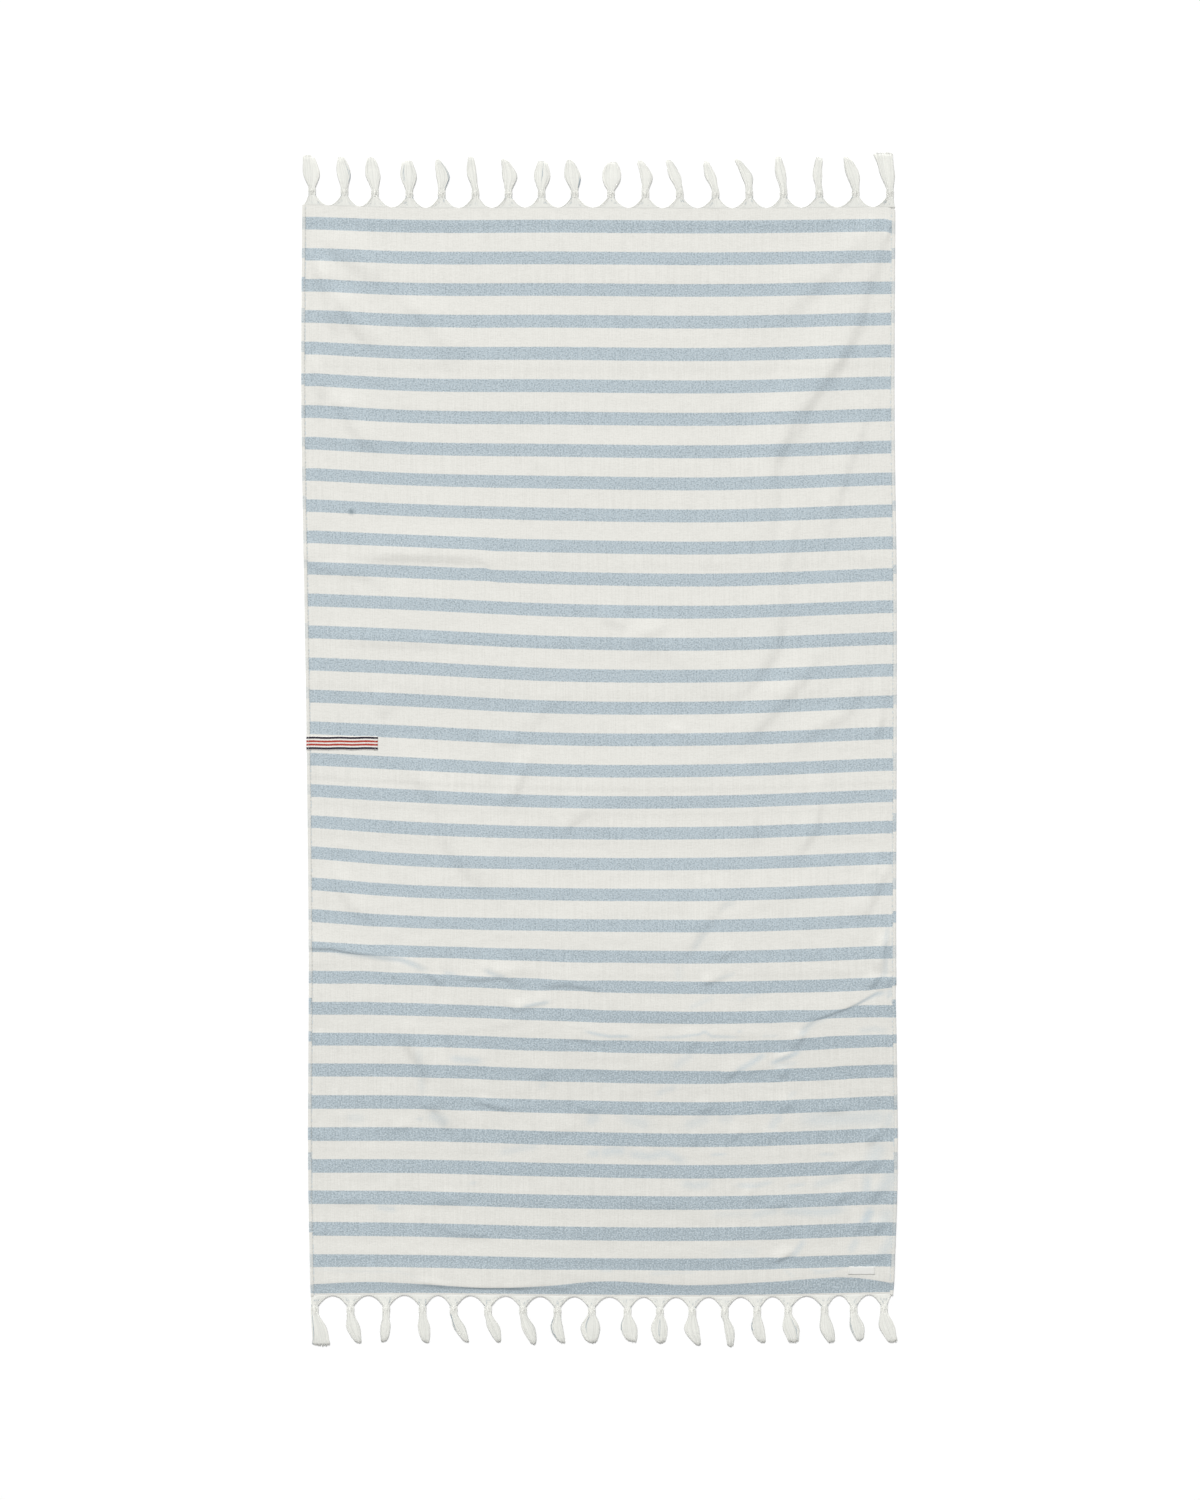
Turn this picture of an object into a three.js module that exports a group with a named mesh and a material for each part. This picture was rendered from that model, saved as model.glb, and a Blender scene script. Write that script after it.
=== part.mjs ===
// A flat-woven towel with knotted tassels, laid out on a surface.
// Millimetres, +Z up, +Y along the towel. The origin is under the middle of the whole towel.
import * as THREE from "three";

const { clamp, lerp } = THREE.MathUtils;

// The cloth: its laid length between the two rows of tassels, and its thickness.
const LENGTH = 1647;
const SHEET = 1.2;
const HEM_WIDTH = 7;
const HEM_STEP = 1.5;
const COLUMNS = 26;
const ROWS = 58;

// The gap that neighbouring pieces keep.
const GAP = 0.5;

// Where the two side edges lie, at stations along the towel.
const EDGES = [
  { y: -824, left: -437, right: 442 },
  { y: -730, left: -438, right: 448 },
  { y: -280, left: -439, right: 447 },
  { y: 0, left: -444, right: 447 },
  { y: 240, left: -448, right: 448 },
  { y: 470, left: -450, right: 444 },
  { y: 824, left: -447, right: 445 },
];

// How far a straight line across the cloth is bowed towards +Y, at stations along the towel.
const BOW_AT = { left: -440, leftMiddle: -214, middle: 0, rightMiddle: 210, right: 422 };
const BOWS = [
  { y: -824, left: 4, leftMiddle: 1, middle: -2, rightMiddle: -2, right: 5 },
  { y: -560, left: 6, leftMiddle: 0, middle: -1, rightMiddle: -4, right: 5 },
  { y: -350, left: 11, leftMiddle: 2, middle: -5, rightMiddle: -3, right: 3 },
  { y: -163, left: 12, leftMiddle: 1, middle: -2, rightMiddle: -4, right: 5 },
  { y: 218, left: 13, leftMiddle: 1, middle: -3, rightMiddle: -5, right: 4 },
  { y: 556, left: 10, leftMiddle: -1, middle: 0, rightMiddle: -3, right: 2 },
  { y: 824, left: 4, leftMiddle: 0, middle: 0, rightMiddle: -1, right: 1 },
];

// The main folds, each along a line from its start to its end. `wide` is half the width of its foot,
// and its height runs from `startHigh` to `endHigh`. A bent fold is a chain of rows.
const FOLDS = [
  // Sharp crease from the left hem, below the middle.
  { x0: -452, y0: -300, x1: -340, y1: -308, wide: 26, startHigh: 7, endHigh: 8 },
  { x0: -340, y0: -308, x1: -196, y1: -352, wide: 26, startHigh: 8, endHigh: 7 },
  { x0: -196, y0: -352, x1: 0, y1: -372, wide: 28, startHigh: 7, endHigh: 2 },
  // Sharp crease from the right hem, and the one that follows it.
  { x0: 460, y0: -354, x1: 303, y1: -408, wide: 26, startHigh: 8, endHigh: 6 },
  { x0: 303, y0: -408, x1: 268, y1: -448, wide: 26, startHigh: 6, endHigh: 2 },
  { x0: 333, y0: -436, x1: 182, y1: -503, wide: 26, startHigh: 2, endHigh: 4 },
  // Creases right of the middle.
  { x0: 122, y0: -314, x1: 160, y1: -262, wide: 28, startHigh: 2, endHigh: 4 },
  { x0: 160, y0: -262, x1: 303, y1: -219, wide: 28, startHigh: 4, endHigh: 2 },
  { x0: -22, y0: -424, x1: 213, y1: -430, wide: 26, startHigh: 2, endHigh: 3 },
  // Soft diagonals in the upper right.
  { x0: 426, y0: 790, x1: 394, y1: 684, wide: 42, startHigh: 2, endHigh: 4 },
  { x0: 394, y0: 684, x1: 303, y1: 503, wide: 44, startHigh: 4, endHigh: 5 },
  { x0: 303, y0: 503, x1: 256, y1: 240, wide: 44, startHigh: 5, endHigh: 2 },
  { x0: 412, y0: 640, x1: 358, y1: 352, wide: 40, startHigh: 3, endHigh: 4 },
  { x0: 358, y0: 352, x1: 300, y1: 288, wide: 40, startHigh: 4, endHigh: 2 },
  // Soft diagonal in the upper left, the wave under it, and a bump near the middle.
  { x0: -424, y0: 780, x1: -324, y1: 594, wide: 42, startHigh: 3, endHigh: 2 },
  { x0: -452, y0: 300, x1: -170, y1: 226, wide: 42, startHigh: 4, endHigh: 3 },
  { x0: 0, y0: 200, x1: 150, y1: 156, wide: 44, startHigh: 3, endHigh: 4 },
  // Short creases by the right hem and above the bottom end.
  { x0: 424, y0: -178, x1: 424, y1: -312, wide: 30, startHigh: 2, endHigh: 4 },
  { x0: 402, y0: -600, x1: 436, y1: -716, wide: 30, startHigh: 3, endHigh: 4 },
  { x0: 262, y0: -738, x1: 292, y1: -778, wide: 28, startHigh: 2, endHigh: 3 },
];

// The ridge along the bottom end, between the last rows of the cloth: its crest at stations across.
const RIDGE_Y = -798;
const RIDGE_WIDE = 24;
const RIDGE = [
  { x: -440, high: 6 },
  { x: -300, high: 9 },
  { x: -225, high: 14 },
  { x: -120, high: 9 },
  { x: -40, high: 13 },
  { x: 60, high: 7 },
  { x: 190, high: 9 },
  { x: 290, high: 6 },
  { x: 345, high: 0 },
];
const RIDGE_ROWS = [-824, -818, -808, -798, -788, -776];

// The tassels. `knot` is where the knot lies across the towel; `middle` and `tip` are how far the
// tail has strayed from there, `wide` is its greatest width, `end` its width at the tip and `reach`
// its length from the cloth.
const TOP_TASSELS = [
  { knot: -435, middle: -1, tip: -6, wide: 25, end: 17, reach: 77 },
  { knot: -386, middle: -1, tip: -6, wide: 21, end: 10, reach: 76 },
  { knot: -340, middle: -3, tip: -6, wide: 22, end: 12, reach: 76 },
  { knot: -288, middle: -1, tip: -4, wide: 24, end: 15, reach: 74 },
  { knot: -239, middle: 2, tip: -7, wide: 20, end: 8, reach: 75 },
  { knot: -188, middle: -5, tip: -7, wide: 14, end: 9, reach: 79 },
  { knot: -138, middle: 2, tip: -8, wide: 22, end: 8, reach: 76 },
  { knot: -88, middle: 1, tip: 1, wide: 24, end: 14, reach: 73 },
  { knot: -38, middle: -3, tip: -8, wide: 24, end: 10, reach: 74 },
  { knot: 17, middle: 1, tip: 2, wide: 29, end: 14, reach: 72 },
  { knot: 69, middle: 2, tip: -9, wide: 18, end: 10, reach: 73 },
  { knot: 121, middle: -7, tip: -18, wide: 17, end: 9, reach: 75 },
  { knot: 175, middle: -7, tip: -16, wide: 16, end: 8, reach: 74 },
  { knot: 226, middle: -3, tip: -20, wide: 16, end: 8, reach: 76 },
  { knot: 278, middle: -4, tip: -8, wide: 16, end: 8, reach: 80 },
  { knot: 332, middle: -3, tip: 1, wide: 14, end: 9, reach: 79 },
  { knot: 387, middle: -4, tip: -15, wide: 20, end: 9, reach: 79 },
  { knot: 439, middle: -4, tip: -11, wide: 22, end: 29, reach: 84 },
];
const BOTTOM_TASSELS = [
  { knot: -431, middle: 7, tip: 10, wide: 22, end: 28, reach: 78 },
  { knot: -377, middle: 4, tip: 13, wide: 20, end: 9, reach: 74 },
  { knot: -323, middle: -1, tip: -3, wide: 15, end: 9, reach: 73 },
  { knot: -268, middle: 2, tip: 6, wide: 18, end: 10, reach: 74 },
  { knot: -221, middle: 8, tip: 21, wide: 17, end: 8, reach: 72 },
  { knot: -169, middle: 8, tip: 17, wide: 18, end: 8, reach: 72 },
  { knot: -116, middle: 8, tip: 17, wide: 19, end: 8, reach: 74 },
  { knot: -64, middle: -1, tip: 9, wide: 19, end: 9, reach: 73 },
  { knot: -12, middle: -2, tip: 0, wide: 29, end: 14, reach: 72 },
  { knot: 42, middle: 2, tip: 8, wide: 25, end: 12, reach: 71 },
  { knot: 91, middle: -1, tip: 2, wide: 25, end: 12, reach: 71 },
  { knot: 140, middle: -1, tip: 10, wide: 22, end: 9, reach: 74 },
  { knot: 189, middle: 7, tip: 9, wide: 14, end: 9, reach: 77 },
  { knot: 238, middle: 1, tip: 9, wide: 20, end: 10, reach: 71 },
  { knot: 285, middle: 4, tip: 9, wide: 24, end: 14, reach: 72 },
  { knot: 340, middle: 3, tip: 12, wide: 21, end: 10, reach: 74 },
  { knot: 384, middle: 5, tip: 10, wide: 21, end: 9, reach: 72 },
  { knot: 430, middle: 4, tip: 14, wide: 23, end: 14, reach: 74 },
];
const TASSEL_SIDES = 6;
// A tassel's fan, its neck and its knot. `out` is how far from the cloth each is, and `lean` and
// `share` are how much of the way to the knot, and of the foot's width, the fan has there.
const FOOT = { high: 1.6 };
const FAN = { out: 7, lean: 0.35, share: 0.62, high: 3 };
const NECK = { out: 20, wide: 10, high: 7 };
const KNOT = { length: 10, wide: 12, high: 9 };
// The tail is widest at `widest` of its length and narrows from `taper` to the tip.
const TAIL = { widest: 0.42, taper: 0.82, high: 6, taperHigh: 4.5, tipHigh: 2.5 };

// The ribbon tape over the left hem, and the small label near the bottom right corner.
const TAPE = { length: 108, width: 21, y: 13.5, thickness: 1, clearOfHem: 0.8 };
const LABEL = { length: 40, width: 12, x: 396, y: -784, thickness: 1 };

const cotton = { color: 0xe6e4dc, roughness: 0.95, metalness: 0 };
const stripedCotton = { color: 0xcfd4d3, roughness: 0.95, metalness: 0 };
const wovenTape = { color: 0xf1eee8, roughness: 0.8, metalness: 0 };

// The value of one column of a table whose rows are stations `key`, in rising order.
function along(table, key, column, at) {
  const next = clamp(table.findIndex((row) => row[key] > at), 1, table.length - 1);
  const index = at >= table.at(-1)[key] ? table.length - 1 : next;
  const from = table[index - 1];
  const to = table[index];
  const share = clamp((at - from[key]) / (to[key] - from[key]), 0, 1);
  return lerp(from[column], to[column], share);
}

function bow(x, y) {
  const stations = Object.entries(BOW_AT).map(([name, at]) => ({ x: at, rise: along(BOWS, "y", name, y) }));
  return along(stations, "x", "rise", x);
}

// A hump of height 1 at 0 that meets the ground smoothly at 1 and stays there.
function hump(distance) {
  return distance < 1 ? 0.5 + 0.5 * Math.cos(Math.PI * distance) : 0;
}

function foldHeight(fold, x, y) {
  const run = new THREE.Vector2(fold.x1 - fold.x0, fold.y1 - fold.y0);
  const from = new THREE.Vector2(x - fold.x0, y - fold.y0);
  const share = clamp(from.dot(run) / run.lengthSq(), 0, 1);
  const distance = from.sub(run.multiplyScalar(share)).length();
  return lerp(fold.startHigh, fold.endHigh, share) * hump(distance / fold.wide);
}

// How far the underside of the cloth stands off the surface. `row` is the cloth's own line across,
// before it is bowed.
function lift(x, y, row) {
  const ridge = along(RIDGE, "x", "high", x) * hump(Math.abs(row - RIDGE_Y) / RIDGE_WIDE);
  return Math.max(ridge, ...FOLDS.map((fold) => foldHeight(fold, x, y)));
}

// Where column and row lines of the cloth fall: close together at the hems and over the end ridge.
function columnShare(column) {
  const width = EDGES.at(-1).right - EDGES.at(-1).left;
  const fromEdge = [0, HEM_WIDTH, HEM_WIDTH + HEM_STEP].map((offset) => offset / width);
  const mirrored = COLUMNS - column;
  if (column < fromEdge.length) {
    return fromEdge[column];
  }
  if (mirrored < fromEdge.length) {
    return 1 - fromEdge[mirrored];
  }
  const first = fromEdge.length - 1;
  return lerp(fromEdge[first], 1 - fromEdge[first], (column - first) / (COLUMNS - 2 * first));
}

function rowPosition(row) {
  const last = RIDGE_ROWS.length - 1;
  if (row <= last) {
    return Math.max(RIDGE_ROWS[row], -LENGTH / 2);
  }
  return lerp(RIDGE_ROWS[last], LENGTH / 2, (row - last) / (ROWS - last));
}

function isHem(column) {
  return Math.min(column, COLUMNS - column) <= 1;
}

// Moves each vertex of a geometry with `move`, which changes the point it is given.
function reshape(geometry, move) {
  const points = geometry.attributes.position;
  const point = new THREE.Vector3();
  for (let index = 0; index < points.count; index += 1) {
    point.fromBufferAttribute(points, index);
    move(point);
    points.setXYZ(index, point.x, point.y, point.z);
  }
  geometry.computeVertexNormals();
  return geometry;
}

function named(name, geometry, material) {
  const mesh = new THREE.Mesh(geometry, new THREE.MeshStandardMaterial(material));
  mesh.name = name;
  return mesh;
}

function clothPanel() {
  const panel = new THREE.BoxGeometry(1, 1, 1, COLUMNS, ROWS, 1);
  return reshape(panel, (point) => {
    const column = Math.round((point.x + 0.5) * COLUMNS);
    const row = rowPosition(Math.round((point.y + 0.5) * ROWS));
    const isTop = point.z > 0;
    const x = lerp(along(EDGES, "y", "left", row), along(EDGES, "y", "right", row), columnShare(column));
    const y = row + bow(x, row);
    const thickness = isHem(column) ? 2 * SHEET : SHEET;
    point.set(x, y, lift(x, y, row) + (isTop ? thickness : 0));
  });
}

// The cross-sections of one tassel from the cloth outwards. `side` is +1 at the top end of the towel
// and -1 at the bottom end, and the sections are in a frame that points away from the cloth.
function tasselSections(tassel, valleys, side) {
  const knotEnd = NECK.out + KNOT.length;
  const tail = tassel.reach - knotEnd;
  const foot = (valleys[0] + valleys[1]) / 2;
  const footWidth = valleys[1] - valleys[0] - GAP;
  const taperShift = lerp(tassel.middle, tassel.tip, TAIL.taper);
  const taperWidth = lerp(tassel.wide, tassel.end, (TAIL.taper - TAIL.widest) / (1 - TAIL.widest));
  const sections = [
    { out: GAP, x: foot, wide: footWidth, high: FOOT.high },
    { out: FAN.out, x: lerp(foot, tassel.knot, FAN.lean), wide: FAN.share * footWidth, high: FAN.high },
    { out: NECK.out, x: tassel.knot, wide: NECK.wide, high: NECK.high },
    { out: NECK.out + KNOT.length / 2, x: tassel.knot, wide: KNOT.wide, high: KNOT.high },
    { out: knotEnd, x: tassel.knot, wide: NECK.wide, high: NECK.high },
    {
      out: knotEnd + TAIL.widest * tail,
      x: tassel.knot + tassel.middle,
      wide: tassel.wide,
      high: TAIL.high,
    },
    {
      out: knotEnd + TAIL.taper * tail,
      x: tassel.knot + taperShift,
      wide: taperWidth,
      high: TAIL.taperHigh,
    },
    { out: tassel.reach, x: tassel.knot + tassel.tip, wide: tassel.end, high: TAIL.tipHigh },
  ];
  return sections.map((section) => ({ ...section, x: side * section.x }));
}

function tassel(sections, footAt) {
  const segments = sections.length - 1;
  const tube = new THREE.CylinderGeometry(1, 1, 1, TASSEL_SIDES, segments, false, Math.PI / TASSEL_SIDES);
  const flatSide = Math.cos(Math.PI / TASSEL_SIDES);
  return reshape(tube, (point) => {
    const section = sections[Math.round((point.y + 0.5) * segments)];
    const x = section.x + 0.5 * section.wide * point.x;
    const z = 0.5 * section.high * (1 + point.z / flatSide);
    point.set(x, footAt(x) + section.out, z);
  });
}

// One row of tassels. Each bundle of threads takes the cloth up to halfway to its neighbours' knots.
function tasselRow(name, table, side) {
  const end = side * 0.5 * LENGTH;
  const left = along(EDGES, "y", "left", end);
  const right = along(EDGES, "y", "right", end);
  const footAt = (x) => 0.5 * LENGTH + side * bow(side * x, end);
  return table.map((row, index) => {
    const before = index === 0 ? left : (table[index - 1].knot + row.knot) / 2;
    const after = index === table.length - 1 ? right : (table[index + 1].knot + row.knot) / 2;
    const geometry = tassel(tasselSections(row, [before, after], side), footAt);
    const mesh = named(`${name}_${String(index + 1).padStart(2, "0")}`, geometry, cotton);
    mesh.rotation.z = side > 0 ? 0 : Math.PI;
    return mesh;
  });
}

function ribbonTape() {
  const hemTop = HEM_WIDTH + TAPE.clearOfHem;
  const hemFoot = HEM_WIDTH + HEM_STEP + TAPE.clearOfHem;
  const bends = [0, hemTop, hemFoot, TAPE.length / 2, TAPE.length];
  const segments = bends.length - 1;
  const strip = new THREE.BoxGeometry(1, TAPE.width, TAPE.thickness, segments, 2, 1);
  return reshape(strip, (point) => {
    const bend = Math.round((point.x + 0.5) * segments);
    const under = (bend <= 1 ? 2 * SHEET : SHEET) + GAP;
    const y = TAPE.y + point.y;
    point.set(along(EDGES, "y", "left", y) + bends[bend], y, under + TAPE.thickness / 2 + point.z);
  });
}

function smallLabel() {
  const patch = new THREE.BoxGeometry(LABEL.length, LABEL.width, LABEL.thickness, 4, 2, 1);
  patch.translate(LABEL.x, LABEL.y, SHEET + GAP + LABEL.thickness / 2);
  return patch;
}

const towel = new THREE.Group();
towel.add(named("cloth", clothPanel(), stripedCotton));
towel.add(...tasselRow("tassel_top", TOP_TASSELS, 1));
towel.add(...tasselRow("tassel_bottom", BOTTOM_TASSELS, -1));
towel.add(named("ribbon_tab", ribbonTape(), wovenTape));
towel.add(named("label", smallLabel(), wovenTape));

// The origin goes to the middle of the towel's box, on the surface it lies on.
const middle = new THREE.Box3().setFromObject(towel).getCenter(new THREE.Vector3());
towel.position.set(-middle.x, -middle.y, 0);
towel.updateMatrixWorld(true);

export default towel;
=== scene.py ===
import math
from functools import partial

import bpy
import numpy as np
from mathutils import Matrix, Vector


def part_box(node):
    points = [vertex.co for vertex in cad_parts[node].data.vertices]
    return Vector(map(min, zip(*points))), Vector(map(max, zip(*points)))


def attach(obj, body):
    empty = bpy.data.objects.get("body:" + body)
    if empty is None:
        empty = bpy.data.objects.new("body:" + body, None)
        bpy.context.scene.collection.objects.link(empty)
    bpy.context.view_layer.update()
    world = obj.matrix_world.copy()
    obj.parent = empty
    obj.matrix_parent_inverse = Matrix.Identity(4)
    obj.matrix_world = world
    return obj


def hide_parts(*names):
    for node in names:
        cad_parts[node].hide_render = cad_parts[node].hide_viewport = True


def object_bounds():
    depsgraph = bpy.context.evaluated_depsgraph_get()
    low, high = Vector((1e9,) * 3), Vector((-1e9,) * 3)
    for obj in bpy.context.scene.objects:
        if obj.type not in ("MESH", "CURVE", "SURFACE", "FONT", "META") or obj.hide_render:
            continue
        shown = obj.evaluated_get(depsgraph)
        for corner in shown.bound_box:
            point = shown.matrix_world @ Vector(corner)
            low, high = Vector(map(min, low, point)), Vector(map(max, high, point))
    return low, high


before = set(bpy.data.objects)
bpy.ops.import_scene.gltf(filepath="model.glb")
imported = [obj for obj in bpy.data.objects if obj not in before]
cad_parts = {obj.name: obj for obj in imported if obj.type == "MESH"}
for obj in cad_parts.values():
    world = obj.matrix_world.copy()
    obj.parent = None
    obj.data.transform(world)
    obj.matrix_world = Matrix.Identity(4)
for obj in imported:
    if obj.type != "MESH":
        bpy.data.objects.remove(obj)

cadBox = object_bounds()
mm = 0.001  # the tables below are in millimetres, from the middle of the cloth, +y towards the top end
draws = np.random.default_rng(35)  # one seeded source for everything uneven

# The cloth as it lies. A row is a straight line across the flat cloth, named by where it lies at
# mid width. "stripeAt" gives the rows of the stripes, by number from the top, and so says how much
# cloth the folds have taken up on the way down; its first and last entries are the cloth's two ends.
cloth = {
    "length": 1647,
    "laidWidth": 894,
    "flatWidth": 905,
    "thickness": 1.1,
    "middle": (-1, 1),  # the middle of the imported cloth's box
    "edgeAt": [-824, -700, -300, 0, 250, 500, 824],
    "leftEdge": [-437, -440, -440, -443, -447, -451, -450],
    "rightEdge": [444, 449, 448, 449, 449, 446, 447],
    "firstStripe": 27.4,
    "stripePitch": 48.55,
    "stripeAt": {
        0.415: 824, 1: 795, 4: 652, 8: 457, 12: 265, 16: 72, 20: -118, 24: -306, 28: -488, 31: -632,
        34: -774, 35: -811, 35.31: -824,
    },
    "bowAcross": [-430, -300, -60, 180, 430],
    "bows": {  # how far a row is bowed towards +y at each of those places across
        -824: [1, 2, 0, -1, 3],
        -750: [5, 4, -1, -2, 5],
        -600: [6, 6, 0, -3, 5],
        -450: [8, 7, -1, -4, 5],
        -350: [10, 8, -1, -5, 3],
        -280: [12, 4, -2, -4, 4],
        0: [12, 6, -5, -5, 4],
        250: [13, 8, -2, -5, 3],
        450: [10, 3, -1, -3, 4],
        824: [4, 0, 0, -1, 1],
    },
    # the top right corner is drawn down, more and more beyond this place across and this row
    "corner": {"drop": 5, "across": 430, "over": 22, "row": 740, "overRows": 50},
    "airUnder": 0.9,  # how far the cloth stands off the surface between the places where it touches
    "airSizes": [(110, 70), (190, 150)],
    "ripple": 0.3,  # the height of the shallow ripples across the lower half
    "rippleSizes": [(75, 13), (38, 11)],
    "rippleRows": (60, -340),  # they start at the first row and are full from the second
    "settles": (45, 10),  # how far from the top and bottom ends the cloth begins to lie flat
    # rows painted a little darker across the cloth as painted shade, as on the end ridge's back: row,
    # half width, how much
    "shadeBands": [
        (795, 9, 0.8), (710, 8, 0.5), (580, 10, 0.5), (515, 6, 0.5), (460, 6, 0.4), (285, 10, 0.5),
        (161, 6, 0.6), (85, 14, 0.5), (-52, 5, 0.9), (-90, 8, 0.6), (-135, 10, 0.6), (-335, 8, 0.6),
        (-480, 9, 0.3), (-610, 8, 0.3), (-768, 14, 0.5),
    ],
}
halfLength = cloth["length"] / 2

# The ridge along the bottom end. "sway" moves its crest, and "high" is its height, across the towel.
endRidge = {
    "row": -798,
    "front": 19,
    "back": 60,
    "across": [-440, -350, -265, -175, -90, 0, 140, 270, 390, 440],
    "sway": [-5, -1, -5, -10, -6, 4, -2, 3, 6, -4],
    "high": [1, 1.2, 1.8, 2.2, 1.9, 1.4, 1.2, 1.2, 1.2, 1],
}

# Folds and creases. The line runs along the middle of a fold's shaded side, which is "steep" wide and
# falls away from the key light; its lit side is "gentle" wide. "tuck" is how much cloth it takes up,
# "ends" how much of its height is left at the line's two ends, and the last entry how much painted
# shade deepens the blue along the shaded side.
keyTowards = (-0.17, 0.98)


def foldRow(line, steep, gentle, high, tuck=0, dyeAndShade=0, ends=(0, 0)):
    return {
        "line": line, "steep": steep, "gentle": gentle, "high": high, "tuck": tuck, "dyeAndShade": dyeAndShade,
        "ends": ends,
    }


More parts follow.
